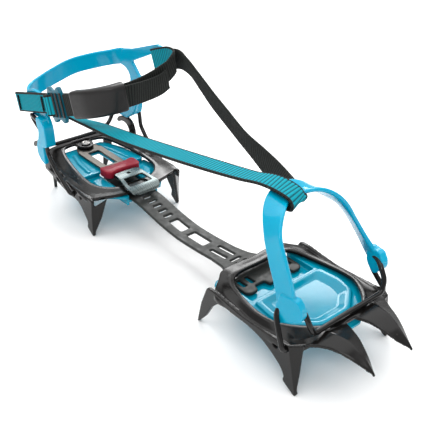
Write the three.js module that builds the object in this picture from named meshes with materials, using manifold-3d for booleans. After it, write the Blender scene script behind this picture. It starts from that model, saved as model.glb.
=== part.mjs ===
// Strap-on walking crampon, ten points. Millimetres, +X toe, +Y left side of the foot, +Z up.
// The tips of the eight down-pointing points stand on z = 0.

import * as THREE from 'three';
import { mergeVertices } from 'three/addons/utils/BufferGeometryUtils.js';
import Module from 'manifold-3d';

const wasm = await Module();
wasm.setup();
const { Manifold, Mesh } = wasm;

// ---------------------------------------------------------------- driving dimensions

const SHEET = 2.4;          // frame steel
const PLATE = 2.2;          // linking bar steel
const WIRE = 1.6;           // radius of both bail wires
const GAP = 0.3;            // clearance between touching pieces
const HOLE = WIRE + 0.4;    // radius of a hole the wire hooks through

const TAPE_W = 15;          // webbing width
const TAPE_T = 1.5;         // webbing thickness
const BAND_W = 12.5;        // moulded toe and heel band width
const BAND_T = 2.6;

const BAR_W = 21.5;         // linking bar
const SLOT_PITCH = 6.4;
const SLOT_COUNT = 9;
const SLOT_FIRST_X = -27.5; // foremost adjusting slot

const TOE_PIVOT = [132.5, 28.2];   // x, z of the holes the toe wire turns in
const HEEL_PIVOT = [-91, 26];      // x, z of the holes the heel wire turns in
const FLANGE_Y = 40.6;             // outer face of the front side flanges
const HEEL_FLANGE_Y = 39.8;        // outer face of the heel side flanges

// ---------------------------------------------------------------- solid helpers

function solidFrom(geometry) {
  const bare = geometry.clone();
  bare.deleteAttribute('normal');
  bare.deleteAttribute('uv');
  const merged = mergeVertices(bare, 1e-4);
  const triVerts = new Uint32Array(merged.index.array);
  const vertProperties = new Float32Array(merged.attributes.position.array);
  return orient(triVerts, vertProperties);
}

function orient(triVerts, vertProperties) {
  const solid = new Manifold(new Mesh({ numProp: 3, vertProperties, triVerts }));
  if (solid.volume() > 0) return solid;
  for (let i = 0; i < triVerts.length; i += 3) {
    [triVerts[i], triVerts[i + 1]] = [triVerts[i + 1], triVerts[i]];
  }
  return new Manifold(new Mesh({ numProp: 3, vertProperties, triVerts }));
}

// Skins a run of sections, each the same count of [x, y, z]; a closed run has no end caps.
function loft(sections, closed = false) {
  const n = sections[0].length;
  const index = [];
  const last = closed ? sections.length : sections.length - 1;
  for (let s = 0; s < last; s += 1) {
    const a = s * n;
    const b = ((s + 1) % sections.length) * n;
    for (let i = 0; i < n; i += 1) {
      const j = (i + 1) % n;
      index.push(a + i, b + i, b + j, a + i, b + j, a + j);
    }
  }
  if (!closed) {
    const end = (sections.length - 1) * n;
    for (let i = 1; i < n - 1; i += 1) {
      index.push(0, i, i + 1, end, end + i + 1, end + i);
    }
  }
  return orient(new Uint32Array(index), new Float32Array(sections.flat(2)));
}

const outline = (points) => new THREE.Shape(points.map(([x, y]) => new THREE.Vector2(x, y)));

// Flat plate drawn in plan (x, y) between two heights.
function plan(points, z0, z1, holes = []) {
  const options = { depth: z1 - z0, bevelEnabled: false };
  const plate = solidFrom(new THREE.ExtrudeGeometry(outline(points), options).translate(0, 0, z0));
  return holes.reduce((solid, hole) => solid.subtract(plan(hole, z0 - 1, z1 + 1)), plate);
}

// Flat plate drawn in side view (x, z) between two y values.
function side(points, y0, y1, holes = []) {
  const flat = new THREE.ExtrudeGeometry(outline(points), { depth: y1 - y0, bevelEnabled: false });
  const plate = solidFrom(flat.rotateX(Math.PI / 2).translate(0, y1, 0));
  return holes.reduce((solid, hole) => solid.subtract(side(hole, y0 - 1, y1 + 1)), plate);
}

// Flat facet: a convex 3-D polygon thickened along a vector.
function facet(points, [tx, ty, tz]) {
  return loft([points, points.map(([x, y, z]) => [x + tx, y + ty, z + tz])]);
}

function rod(points, radius, fillet, sides = 10) {
  const path = new THREE.CurvePath();
  const p = points.map((q) => new THREE.Vector3(...q));
  let from = p[0];
  for (let i = 1; i < p.length - 1; i += 1) {
    const back = p[i].clone().sub(p[i - 1]);
    const ahead = p[i + 1].clone().sub(p[i]);
    const cut = Math.min(fillet, back.length() * 0.48, ahead.length() * 0.48);
    const a = p[i].clone().addScaledVector(back.normalize(), -cut);
    const b = p[i].clone().addScaledVector(ahead.normalize(), cut);
    path.add(new THREE.LineCurve3(from, a));
    path.add(new THREE.QuadraticBezierCurve3(a, p[i], b));
    from = b;
  }
  path.add(new THREE.LineCurve3(from, p[p.length - 1]));
  const shape = new THREE.Shape();
  shape.absarc(0, 0, radius, 0, Math.PI * 2, false);
  const steps = Math.ceil(path.getLength() / 3.2);
  return solidFrom(new THREE.ExtrudeGeometry(shape, {
    steps, extrudePath: path, curveSegments: sides / 2, bevelEnabled: false,
  }));
}

// Flat strap through centre points; each point may carry its own across direction.
function strap(stations, width, thickness, steps) {
  const centre = new THREE.CatmullRomCurve3(
    stations.map((s) => new THREE.Vector3(...s.at)), false, 'centripetal');
  const across = new THREE.CatmullRomCurve3(
    stations.map((s) => new THREE.Vector3(...s.across)), false, 'centripetal');
  const sections = [];
  for (let i = 0; i <= steps; i += 1) {
    const t = i / steps;
    const tangent = centre.getTangent(t);
    const w = across.getPoint(t);
    w.addScaledVector(tangent, -w.dot(tangent)).normalize();
    const n = tangent.clone().cross(w);
    const c = centre.getPoint(t);
    sections.push([[-1, -1], [1, -1], [1, 1], [-1, 1]].map(([u, v]) => c.clone()
      .addScaledVector(w, (u * width) / 2)
      .addScaledVector(n, (v * thickness) / 2).toArray()));
  }
  return loft(sections);
}

function disc(radius, x, z, y0, y1, sides = 20) {
  const points = [];
  for (let i = 0; i < sides; i += 1) {
    const a = (i / sides) * Math.PI * 2;
    points.push([x + radius * Math.cos(a), z + radius * Math.sin(a)]);
  }
  return side(points, y0, y1);
}

function box(x0, x1, y0, y1, z0, z1) {
  return plan([[x0, y0], [x1, y0], [x1, y1], [x0, y1]], z0, z1);
}

const flipped = (points) => points.map(([x, y, z]) => [x, -y, z]);
const join = (solids) => solids.reduce((a, b) => a.add(b));

// Runs a builder for the +Y side and for its mirror, and joins both.
function bothSides(build) {
  return join([build((p) => p), build(flipped)]);
}

// ---------------------------------------------------------------- frames

// Half rings, front to rear: inner x, inner y, outer x, outer y, lip height, fall to the crease.
const FRONT_RING = [
  [137.0, 0, 142.5, 0, 35.0, 0.6],
  [137.0, 13, 142.5, 16, 35.0, 0.6],
  [134.5, 18.5, 142.0, 30, 34.8, 1.6],
  [127.0, 25.5, 138.5, 37.5, 34.0, 3.6],
  [118.0, 31.0, 130.0, 40.6, 33.0, 4.4],
  [108.0, 32.6, 112.0, 40.6, 32.2, 4.4],
  [97.0, 31.8, 97.0, 40.6, 31.6, 4.2],
  [84.0, 29.2, 82.0, 40.6, 31.8, 4.0],
  [75.0, 26.4, 72.5, 40.6, 32.6, 3.6],
  [70.5, 22.5, 64.5, 30.5, 33.4, 1.4],
  [69.0, 17.0, 60.5, 24.5, 33.8, 0.6],
  [69.0, 0, 60.5, 0, 33.8, 0.6],
];

const HEEL_RING = [
  [-70.5, 0, -60.0, 0, 32.2, 0.8],
  [-70.5, 12, -60.0, 14, 32.2, 0.8],
  [-73.0, 19.5, -64.0, 29, 32.6, 1.2],
  [-80.0, 25.5, -71.0, 39.8, 33.2, 2.4],
  [-92.0, 27.5, -92.0, 39.8, 34.2, 3.0],
  [-108.0, 26.0, -110.0, 39.8, 35.4, 3.4],
  [-122.0, 23.5, -130.0, 39.8, 36.4, 3.6],
  [-134.0, 20.5, -143.0, 33.0, 37.2, 2.4],
  [-141.0, 17.0, -149.0, 26.5, 37.6, 0.8],
  [-143.0, 12.0, -151.0, 18.0, 37.6, 0.6],
  [-143.0, 0, -151.0, 0, 37.6, 0.6],
];

// Shallow pressed ring: a flat lip round the opening, then a sloping shoulder to the crease.
function ring(half, lip) {
  const mirrored = half.slice(1, -1).reverse().map(([a, b, c, d, e, f]) => [a, -b, c, -d, e, f]);
  const sections = [...half, ...mirrored].map(([xi, yi, xo, yo, top, fall]) => {
    const run = Math.hypot(xo - xi, yo - yi);
    const t = Math.min(lip / run, 0.5);
    const xm = xi + (xo - xi) * t;
    const ym = yi + (yo - yi) * t;
    const foot = top - fall;
    return [
      [xi, yi, top - SHEET], [xi, yi, top], [xm, ym, top],
      [xo, yo, foot], [xo, yo, foot - SHEET], [xm, ym, top - SHEET],
    ];
  });
  return loft(sections, true);
}

// Side flange of the front section with its two down-pointing points, in side view.
const FRONT_FLANGE = [
  [65.5, 30.5], [72.5, 31.0], [84, 29.6], [97, 28.4], [112, 29.0], [128, 30.2], [134.5, 31.5],
  [138.2, 17], [141.9, 1.2], [141.5, 0], [140.6, 0],
  [131.2, 5.2], [132.3, 8.6], [129.4, 13.4], [122.6, 18.2], [115, 22.2], [106, 24.4], [97, 25.3],
  [84, 25.6], [75.5, 24.2], [70, 18.5], [64.2, 8], [57.6, 0], [56.4, 0], [60, 16],
];

function frontCorner(turn) {
  const fold = turn([[134.2, 40.6, 31.2], [140.6, 35.4, 33.0], [141.4, 37.6, 14], [141.9, 40.0, 0.6],
    [137.9, 40.6, 16]]);
  return facet(fold, [-1.3, Math.sign(fold[0][1]) * -1.6, 0]);
}

// Curved front point: a downturned blade with a raised rib along its middle.
const FRONT_POINT = [
  // x, outer y, outer z, rib y, rib z, inner y, inner z
  [139.0, 33.5, 31.6, 19.5, 34.6, 3.2, 33.4],
  [143.5, 30.2, 33.0, 19.0, 36.0, 4.2, 34.0],
  [149.0, 26.8, 33.5, 18.2, 36.6, 6.0, 34.2],
  [155.0, 24.3, 33.0, 17.2, 36.4, 7.6, 33.3],
  [161.0, 21.9, 31.2, 16.4, 34.2, 9.6, 30.9],
  [167.0, 19.2, 28.4, 16.0, 30.6, 12.0, 28.0],
  [171.6, 17.2, 26.0, 16.0, 27.2, 14.6, 25.8],
  [174.0, 16.5, 24.6, 16.0, 25.0, 15.5, 24.6],
];

function frontPoint(turn) {
  const sections = FRONT_POINT.map(([x, yo, zo, yr, zr, yi, zi], i) => {
    const t = SHEET - i * 0.16;
    return turn([[x, yo, zo], [x, yr, zr], [x, yi, zi],
      [x, yi, zi - t], [x, yr, zr - t], [x, yo, zo - t]]);
  });
  return loft(sections);
}

function frontFrame() {
  const flanges = join([
    side(FRONT_FLANGE, FLANGE_Y - SHEET, FLANGE_Y),
    side(FRONT_FLANGE, -FLANGE_Y, -FLANGE_Y + SHEET),
  ]);
  const [px, pz] = TOE_PIVOT;
  const wireHoles = disc(HOLE, px, pz, -50, 50);
  const spareHoles = disc(2.4, px - 8, pz - 2, -50, 50);
  return join([ring(FRONT_RING, 3), flanges, bothSides(frontCorner), bothSides(frontPoint)])
    .subtract(wireHoles).subtract(spareHoles);
}

// Side flange of the heel section: front corner point with its barb, and the long lower edge.
const HEEL_FLANGE = [
  [-133, 34], [-130, 33.6], [-110, 32.4], [-92, 31.6], [-71, 31.2], [-65, 30.5], [-66.6, 16],
  [-66.9, 0.6], [-67.4, 0], [-68.4, 0], [-75.2, 4.8], [-73.6, 9.6], [-81.5, 19], [-86.5, 22],
  [-100, 22.4], [-112, 25], [-122, 27.6], [-133, 30.2],
];

function heelCorner(turn) {
  const fold = turn([[-66.4, 39.8, 24], [-59.5, 31.0, 31.6], [-62.4, 34.6, 16], [-66.9, 39.4, 0.6]]);
  return facet(fold, [-1.2, Math.sign(fold[0][1]) * -1.7, 0]);
}

function heelRearPoint(turn) {
  const blade = turn([[-151.0, 26.4, 36.4], [-143.6, 29.4, 35.8], [-144.6, 27.8, 20],
    [-151.6, 24.8, 0], [-152.8, 24.6, 0]]);
  return facet(blade, [0.6, Math.sign(blade[0][1]) * -SHEET, 0]);
}

// Horn: a claw rising from each heel flange and hooking back over the rear leg of the wire.
const HORN = [
  [-124, 31], [-123.6, 43], [-126, 49], [-131, 52.0], [-139, 51.8], [-147, 48.4], [-149.4, 44.6],
  [-146.6, 43.6], [-141.4, 46.4], [-135.4, 46.2], [-131.4, 42.4], [-130.6, 36], [-131, 31],
];

function heelFrame() {
  const y = HEEL_FLANGE_Y;
  const flanges = join([side(HEEL_FLANGE, y - SHEET, y), side(HEEL_FLANGE, -y, -y + SHEET)]);
  const horns = join([side(HORN, y - SHEET, y), side(HORN, -y, -y + SHEET)]);
  const tab = plan([[-149, -7], [-138, -7], [-133, -4.5], [-131, 0], [-133, 4.5], [-138, 7],
    [-149, 7]], 37.6 - SHEET, 37.6);
  const body = join([ring(HEEL_RING, 3), flanges, horns, tab,
    bothSides(heelCorner), bothSides(heelRearPoint)]);
  const [px, pz] = HEEL_PIVOT;
  const cuts = join([
    disc(HOLE, px, pz, -50, 50),
    disc(4.4, -112, 31.4, -50, 50),
    disc(1.5, -81, 27, -50, 50),
  ]);
  return body.subtract(cuts).subtract(rivetHole());
}

const rivetHole = () => plan(circlePoints(-137.5, 0, 2.2), 30, 45);

function circlePoints(x, y, radius, sides = 20) {
  return Array.from({ length: sides }, (_, i) => {
    const a = (i / sides) * Math.PI * 2;
    return [x + radius * Math.cos(a), y + radius * Math.sin(a)];
  });
}

// ---------------------------------------------------------------- anti-balling plates

// Raised tray of the front plate and the flat floor sunk into it, in plan.
const TRAY = [[133, -12], [133, 12], [121, 27], [110, 30], [93, 28], [93, -28], [110, -30],
  [121, -27]];
const TRAY_FLOOR = [[124, -9], [124, 9], [116, 18], [98, 19], [98, -19], [116, -18]];

// Front plate: clips up under the ring; a lower pocket at the rear clears the linking bar.
function frontAntiball() {
  const half = [[139, 0], [139, 16], [136.4, 22.5], [129, 33], [116, 36.6], [97, 35.4],
    [84, 33.8], [73, 34.4], [64, 33.4], [61, 29.6], [61, 24], [64, 26.5], [90, 26.5], [90, 0]];
  const mirrored = half.slice(1, -1).reverse().map(([x, y]) => [x, -y]);
  const sheet = plan([...half, ...mirrored], 26.2, 28.2);
  const tongue = plan([[137, -13], [142.6, -10], [142.6, 10], [137, 13]], 25.6, 27.8);
  const tray = plan(TRAY, 28, 30.2).subtract(loft([
    TRAY_FLOOR.map(([x, y]) => [x, y, 28.6]), TRAY_FLOOR.map(([x, y]) => [x * 1.02 - 2, y * 1.1, 30.6]),
  ]));
  const floor = box(66, 91.5, -27.5, 27.5, 22.4, 24.4);
  const walls = join([box(90, 92, -27.5, 27.5, 22.4, 28.2), box(66, 92, 26, 28, 22.4, 28.2),
    box(66, 92, -28, -26, 22.4, 28.2)]);
  return join([sheet, tongue, tray, floor, walls]);
}

// Heel plate: a raised rear table with a window, and a front channel the linking bar runs in.
function heelAntiball() {
  const table = plan([[-144, -17], [-139, -20.5], [-124, -26], [-108, -27.8], [-98, -27.6],
    [-98, 27.6], [-108, 27.8], [-124, 26], [-139, 20.5], [-144, 17]], 30.2, 32.2, [
    [[-128, -5.5], [-103, -5.5], [-103, 5.5], [-128, 5.5]]]);
  const wing = (s) => plan([[-101, 13 * s], [-101, 31 * s], [-82, 33 * s], [-72, 29.5 * s],
    [-64, 21 * s], [-58, 16 * s], [-58, 13 * s]], 26.2, 28.4);
  const pad = (s) => plan([[-92, 14.5 * s], [-92, 23 * s], [-82, 24 * s], [-75, 19 * s],
    [-73, 14.5 * s]], 28.3, 30.8);
  const channel = join([box(-101, -62, -13.6, 13.6, 20.6, 22.6),
    box(-101, -59, 11.6, 13.6, 20.6, 28.4), box(-101, -59, -13.6, -11.6, 20.6, 28.4)]);
  const step = join([box(-101, -98.5, -27, -12, 26.2, 32.2), box(-101, -98.5, 12, 27, 26.2, 32.2)]);
  return join([table, wing(1), wing(-1), pad(1), pad(-1), channel, step]);
}

// ---------------------------------------------------------------- linking bar

// Height of the bar's mid surface, rear to front.
const BAR_LINE = [
  [-100, 25.4], [-62, 25.4], [-46, 24.2], [-27, 20.8], [-7, 18.7], [8, 18.9], [22, 19.8],
  [45, 22.2], [54, 23.6], [62, 25.9], [68, 26.6], [84, 26.6],
];

function linkingBar() {
  const line = new THREE.SplineCurve(BAR_LINE.map(([x, z]) => new THREE.Vector2(x, z)));
  const mid = line.getPoints(44).map((p) => [p.x, p.y]);
  const top = mid.map(([x, z]) => [x, z + PLATE / 2]);
  const bottom = mid.map(([x, z]) => [x, z - PLATE / 2]).reverse();
  const h = BAR_W / 2;
  const outlineHalf = [[-100, 7], [-97, h], [34, h], [46, 12.2], [54, 15.5], [66, 15.5], [66, 22],
    [70, 23.4], [81, 23.4], [83.6, 21], [83.6, 15], [79, 14], [79, 6], [83.6, 5], [83.6, 0]];
  const mirrored = outlineHalf.slice().reverse().map(([x, y]) => [x, -y]);
  const bar = side([...top, ...bottom], -30, 30)
    .intersect(plan([...outlineHalf, ...mirrored.slice(1)].reverse(), 0, 60));
  const cuts = [];
  for (let i = 0; i < SLOT_COUNT; i += 1) {
    const x = SLOT_FIRST_X - i * SLOT_PITCH;
    cuts.push(box(x - 1.3, x + 1.3, -3.6, 3.6, 10, 40));
  }
  cuts.push(box(-21.5, -7, -4, 4, 10, 40), box(-1.5, 17, -4, 4, 10, 40));
  cuts.push(box(24.5, 41, 2.2, 4.8, 10, 40), box(24.5, 41, -4.8, -2.2, 10, 40));
  cuts.push(box(44.4, 47, -4.4, 4.4, 10, 40));
  cuts.push(plan(circlePoints(51.4, 3.4, 1.6, 12), 10, 40));
  cuts.push(plan(circlePoints(51.4, -3.4, 1.6, 12), 10, 40));
  [-19, -12.5, 12.5, 19].forEach((y) => cuts.push(box(68.5, 76.5, y - 1.7, y + 1.7, 10, 40)));
  return bar.subtract(join(cuts));
}

// ---------------------------------------------------------------- length adjuster

function adjusterBlade() {
  const points = [[-143, -5], [-138, -8], [-132, -10.3], [-74, -10.3], [-74, 10.3], [-132, 10.3],
    [-138, 8], [-143, 5]];
  const window = box(-127, -100, -5, 5, 30, 40);
  return plan(points, 33.8, 34.9).subtract(window).subtract(rivetHole());
}

function adjusterTab() {
  const body = plan([[-94, -14], [-91, -15.5], [-84, -15], [-81, -12], [-82.5, -6], [-82.5, 6],
    [-81, 12], [-84, 15], [-91, 15.5], [-94, 14], [-92.5, 6], [-92.5, -6]], 32.6, 38.6);
  const slot = box(-100, -70, -10.3 - GAP, 10.3 + GAP, 33.8 - GAP, 34.9 + GAP);
  return body.subtract(slot);
}

function adjusterClip() {
  const line = [[-80.6, 36.8], [-74, 36.6], [-64, 35.2], [-56, 34.2], [-53, 32.8], [-52, 30.6]];
  const under = line.map(([x, z]) => [x - 0.8, z - 1.4]).reverse();
  const sheet = side([...line, ...under], -20, 20);
  const shape = plan([[-82, -10.5], [-76, -10.5], [-58, -13.4], [-52.6, -12], [-51, -7],
    [-51, 7], [-52.6, 12], [-58, 13.4], [-76, 10.5], [-82, 10.5]], 20, 45);
  const window = plan([[-71, -8.2], [-60, -10], [-60, 10], [-71, 8.2]], 20, 45);
  const hole = plan(circlePoints(-76.4, 0, 1.5, 12), 20, 45);
  return sheet.intersect(shape).subtract(window).subtract(hole);
}

function tabRivet() {
  const profile = [[0, 32.7], [3.2, 32.7], [3.2, 33.5], [1.8, 33.5], [1.8, 37.9],
    [3.6, 37.9], [3.4, 38.9], [2.2, 39.5], [0, 39.7]].map(([r, z]) => new THREE.Vector2(r, z));
  const lathe = new THREE.LatheGeometry(profile, 20);
  return solidFrom(lathe.rotateX(Math.PI / 2).translate(-137.5, 0, 0));
}

// ---------------------------------------------------------------- bail wires

// One bail wire: the near half run backwards on the -Y side, then the far half.
const bail = (far, near) => [...near.slice(1).reverse().map(([x, y, z]) => [x, -y, z]), ...far];

const TOE_WIRE = bail([
  [139.8, 0, 37.2], [140.4, 28.4, 37.6], [139.3, 31.3, 44.6], [135.4, 31.8, 51],
  [130.6, 34.2, 53.6], [125, 36.8, 52.4], [121.4, 39.6, 45], [122.6, 42.2, 38.4],
  [126.5, 43.1, 33.4], [TOE_PIVOT[0], 43.1, TOE_PIVOT[1]], [TOE_PIVOT[0], 36.8, TOE_PIVOT[1]],
], [
  [139.8, 0, 37.2], [140.4, 28.4, 37.6], [139.3, 31.3, 44.6], [135.4, 31.8, 51],
  [130.6, 34.2, 53.6], [123.4, 38, 51], [123.4, 40.4, 46.4], [128.4, 42.6, 37.5],
  [TOE_PIVOT[0], 43.1, TOE_PIVOT[1]], [TOE_PIVOT[0], 36.8, TOE_PIVOT[1]],
]);

const HEEL_WIRE = bail([
  [-148, 0, 39.8], [-147.6, 22.5, 40.2], [-146.4, 29, 46.5], [-148.4, 33.6, 52],
  [-147.6, 37.4, 59], [-141, 39.8, 62.6], [-127, 41.4, 64.2], [-121.2, 42, 60], [-120, 42, 48],
  [-112, 42, 39], [HEEL_PIVOT[0], 42, HEEL_PIVOT[1]], [HEEL_PIVOT[0], 35.6, HEEL_PIVOT[1]],
], [
  [-148, 0, 39.8], [-147.6, 22.5, 40.2], [-147.6, 29, 46.5], [-149, 33.6, 58],
  [-149.4, 37.4, 67.6], [-144.6, 39.8, 71.6], [-128, 41.4, 70.2], [-122, 42, 63], [-120, 42, 48],
  [-112, 42, 39], [HEEL_PIVOT[0], 42, HEEL_PIVOT[1]], [HEEL_PIVOT[0], 35.6, HEEL_PIVOT[1]],
]);

const wire = (path, radius = WIRE) => rod(path, radius, 3);

// ---------------------------------------------------------------- moulded bands

const TOE_BAND = [
  { at: [129.6, -36.6, 46.4], across: [1, 0.2, 0.1] },
  { at: [124.8, -37.6, 65], across: [1, 0.15, 0.05] },
  { at: [119.7, -38, 78.4], across: [1, 0.1, 0.3] },
  { at: [114, -36.5, 88.5], across: [1, 0, 0.3] },
  { at: [108, -31, 96.5], across: [1, 0.1, 0.1] },
  { at: [101.5, -22, 100.6], across: [1, 0.3, -0.2] },
  { at: [98, -10, 101.2], across: [1, 0.3, -0.35] },
  { at: [99.5, 2, 99.3], across: [1, 0.2, -0.1] },
  { at: [104, 13, 94], across: [1, -0.1, 0.4] },
  { at: [107.5, 23, 85.5], across: [1, -0.5, 0.6] },
  { at: [110.5, 30, 75], across: [1, -0.6, 0.5] },
  { at: [116, 35, 63], across: [1, -0.5, 0.4] },
  { at: [123.5, 37.2, 53], across: [1, -0.3, 0.3] },
  { at: [129.6, 38, 46.4], across: [1, -0.2, 0.1] },
];

// Lug outlines in side view, round the tunnel the wire passes through.
const FAR_TOE_LUG = [
  [120.8, 58], [121.6, 47.5], [124, 45], [128, 42.4], [130, 43], [134.8, 49.6], [134.6, 54],
  [131, 58.5],
];
const NEAR_TOE_LUG = [
  [121.2, 52], [122, 42.6], [124, 41.2], [136.6, 47.4], [138.2, 50], [137.2, 55.5], [134, 60],
  [123.2, 60],
];

function toeLug(points, s) {
  const face = points.map(([x, z]) => [x, s * (35.6 - 0.2 * (x - 121)), z]);
  return facet(face, [1, 4.6 * s, 0]);
}

function toeBand() {
  const band = strap(TOE_BAND, BAND_W, BAND_T, 56);
  return join([band, toeLug(FAR_TOE_LUG, 1), toeLug(NEAR_TOE_LUG, -1)])
    .subtract(wire(TOE_WIRE, WIRE + 0.35));
}

const HEEL_BACK = [
  { at: [-131, 36.8, 105.2], across: [0.25, 0, 1] },
  { at: [-141, 34.6, 102], across: [0.25, 0, 1] },
  { at: [-153, 24.5, 98.2], across: [0.1, 0.1, 1] },
  { at: [-166, 10, 92.5], across: [0, 0.1, 1] },
  { at: [-171.4, -3, 86.5], across: [-0.1, 0.1, 1] },
  { at: [-170.9, -15, 83], across: [-0.1, 0, 1] },
  { at: [-166, -26, 81.5], across: [-0.1, 0, 1] },
  { at: [-156, -34.4, 81.6], across: [0, 0, 1] },
  { at: [-146, -36.8, 82], across: [0, 0, 1] },
];

// Far side cheek: a window for the webbing at the top and an arm down to the wire.
const FAR_CHEEK = [
  [-137, 109.4], [-119, 113.6], [-84, 126], [-76, 123.5], [-76, 108], [-86, 99], [-100, 89],
  [-109, 77], [-115, 69], [-120, 60], [-131, 53], [-142, 53], [-144.5, 59], [-137, 71],
  [-125, 82], [-121.5, 88], [-123, 93.5], [-128, 97], [-137, 98],
];
const FAR_WINDOW = [
  [-119, 103.7], [-109.6, 94], [-81, 108.8], [-88.2, 118.3],
];

const NEAR_CHEEK = [
  [-152, 88.2], [-142, 92], [-127, 92], [-122, 86], [-125, 78], [-120, 72], [-118.6, 66],
  [-118.6, 55], [-121, 53], [-129.6, 53.6], [-127.8, 65], [-131.5, 70.6], [-146, 71.4],
  [-152, 75.6],
];
const NEAR_WINDOW = [[-140, 79], [-131, 80.5], [-131, 88.5], [-140, 87.5]];

// Lugs the wire runs through, and the spur that trails below the near one.
const FAR_HEEL_LUG = [
  [-146.4, 57.4], [-143.4, 52.4], [-131.6, 52.2], [-120, 59.4], [-117.6, 66], [-118.6, 71],
  [-141, 71],
];
const NEAR_HEEL_LUG = [
  [-131.4, 56], [-129, 64], [-131, 69.4], [-131, 75], [-123.6, 75], [-118.8, 70], [-118.4, 54.4],
  [-121, 52.6], [-130, 52.6],
];
const NEAR_HEEL_SPUR = [
  [-128, 58], [-132.2, 57], [-135, 50], [-135, 43.8], [-131.2, 39.8], [-124.6, 37.4],
  [-123.8, 40.4], [-124.4, 58],
];

function heelBand() {
  const cheeks = join([side(FAR_CHEEK, 35.5, 35.5 + BAND_T, [FAR_WINDOW]),
    side(NEAR_CHEEK, -35.5 - BAND_T, -35.5, [NEAR_WINDOW])]);
  const lugs = join([side(FAR_HEEL_LUG, 36.6, 43.6), side(NEAR_HEEL_LUG, -43.6, -36.6),
    side(NEAR_HEEL_SPUR, -43.5, -40.4)]);
  const forks = join([box(-123.2, -117, 40, 46, 50, 61.5), box(-123.2, -117, -46, -40, 50, 62.5)]);
  return join([cheeks, strap(HEEL_BACK, BAND_W, BAND_T, 36), lugs]).subtract(forks)
    .subtract(wire(HEEL_WIRE, WIRE + 0.35));
}

// ---------------------------------------------------------------- webbing

const NEAR_LEG = [
  { at: [92.2, -9, 99.3], across: [-0.1, 1, -0.1] },
  { at: [98.2, -10.4, 97], across: [-0.15, 1, -0.1] },
  { at: [103.4, -11.6, 95.4], across: [-0.25, 1, -0.05] },
  { at: [107.9, -12.8, 98.4], across: [-0.3, 1, 0] },
  { at: [106.4, -13.7, 102.3], across: [-0.3, 1, 0] },
  { at: [98.6, -15.4, 104.9], across: [-0.2, 1, 0] },
  { at: [90.4, -18, 106], across: [-0.1, 1, -0.02] },
  { at: [78, -21.4, 104.6], across: [0, 1, -0.05] },
  { at: [50, -27, 102.4], across: [0, 1, 0] },
  { at: [24, -30, 99.6], across: [0, 1, 0.02] },
  { at: [-26, -33, 93.4], across: [0, 1, 0] },
  { at: [-60, -34, 90], across: [0, 1, -0.16] },
  { at: [-96, -32.4, 84.2], across: [0, 1, -0.5] },
  { at: [-111, -31.2, 83.2], across: [0, 0.5, -1] },
  { at: [-120, -30.6, 83], across: [0, 0.05, -1] },
  { at: [-130, -31, 82.8], across: [0, 0, -1] },
];

const FAR_LEG = [
  { at: [90, -2, 92.8], across: [0.3, 1, 0.6] },
  { at: [76, 6, 91], across: [0.2, 0.6, 1] },
  { at: [55, 14, 92.4], across: [0.05, 0.1, 1] },
  { at: [30, 19, 97], across: [0, -0.2, 1] },
  { at: [10, 23.4, 102], across: [0, -0.2, 1] },
  { at: [-12, 28, 108], across: [0, -0.2, 1] },
  { at: [-32, 32.6, 114.2], across: [0, -0.25, 1] },
  { at: [-48, 36.8, 118.2], across: [0, -0.3, 1] },
  { at: [-64, 40.6, 119], across: [0, -0.15, 1] },
  { at: [-80, 40.8, 115], across: [-0.2, 0, 1] },
];

const ANKLE_RUN = [
  { at: [-87, 33.6, 114.4], across: [-0.3, 0, 1] },
  { at: [-77, 33.8, 118.2], across: [-0.25, 0, 1] },
  { at: [-67, 34, 121.2], across: [-0.2, 0, 1] },
  { at: [-58, 31.4, 121.4], across: [-0.1, 0, 1] },
  { at: [-54.2, 24, 117.8], across: [0, 0, 1] },
  { at: [-52.8, 13, 114.6], across: [0, 0, 1] },
  { at: [-50.6, -1, 112.4], across: [0, 0, 1] },
  { at: [-48.4, -14, 111.8], across: [-0.05, 0, 1] },
  { at: [-50.6, -26.4, 109.8], across: [-0.15, 0, 1] },
  { at: [-59.4, -35, 106.6], across: [-0.25, 0, 1] },
  { at: [-70, -38.2, 103.2], across: [-0.3, 0, 1] },
  { at: [-92, -38.4, 96.4], across: [-0.3, 0, 1] },
];

const TAIL = [
  { at: [-83.8, -42.6, 99], across: [-0.3, 0, 1] },
  { at: [-77, -42.2, 101.2], across: [-0.3, 0, 1] },
  { at: [-67, -41, 104.3], across: [-0.3, 0, 1] },
  { at: [-57.4, -37.6, 107.2], across: [-0.25, 0, 1] },
  { at: [-47.4, -27.8, 110.4], across: [-0.15, 0, 1] },
  { at: [-44.8, -14.2, 111.4], across: [-0.05, 0, 1] },
  { at: [-47, -1.4, 110.6], across: [0, 0, 1] },
  { at: [-49.6, 13, 111], across: [0, 0, 1] },
  { at: [-51.6, 20.6, 112.6], across: [0, 0, 1] },
];

const tape = (stations, steps) => strap(stations, TAPE_W, TAPE_T, steps);

// From the tail end of the stub, over the rear bar of the buckle and down into its first slot.
const STUB = [
  { at: [-163, -40.4, 76.2], across: [-0.29, 0, 1] },
  { at: [-130, -40.4, 85.6], across: [-0.29, 0, 1] },
  { at: [-111, -40.6, 91.0], across: [-0.29, 0, 1] },
  { at: [-107.4, -42.8, 92.1], across: [-0.29, 0, 1] },
  { at: [-103.7, -46.2, 93.2], across: [-0.29, 0, 1] },
  { at: [-100.3, -45, 94.1], across: [-0.29, 0, 1] },
  { at: [-99.7, -42.2, 94.3], across: [-0.29, 0, 1] },
];

// Short doubled length that ties the buckle to the near window of the heel band.
function webbingStub() {
  const outer = strap(STUB, TAPE_W, 2.4, 24);
  const throughWindow = box(-138.6, -132.4, -40, -33, 82, 86.6);
  const inner = side([[-138.6, 78], [-132, 76.5], [-121, 70], [-119, 74], [-121, 88],
    [-132, 89.5], [-138.6, 88]], -34.6, -33.2);
  return join([outer, throughWindow, inner]);
}

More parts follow.
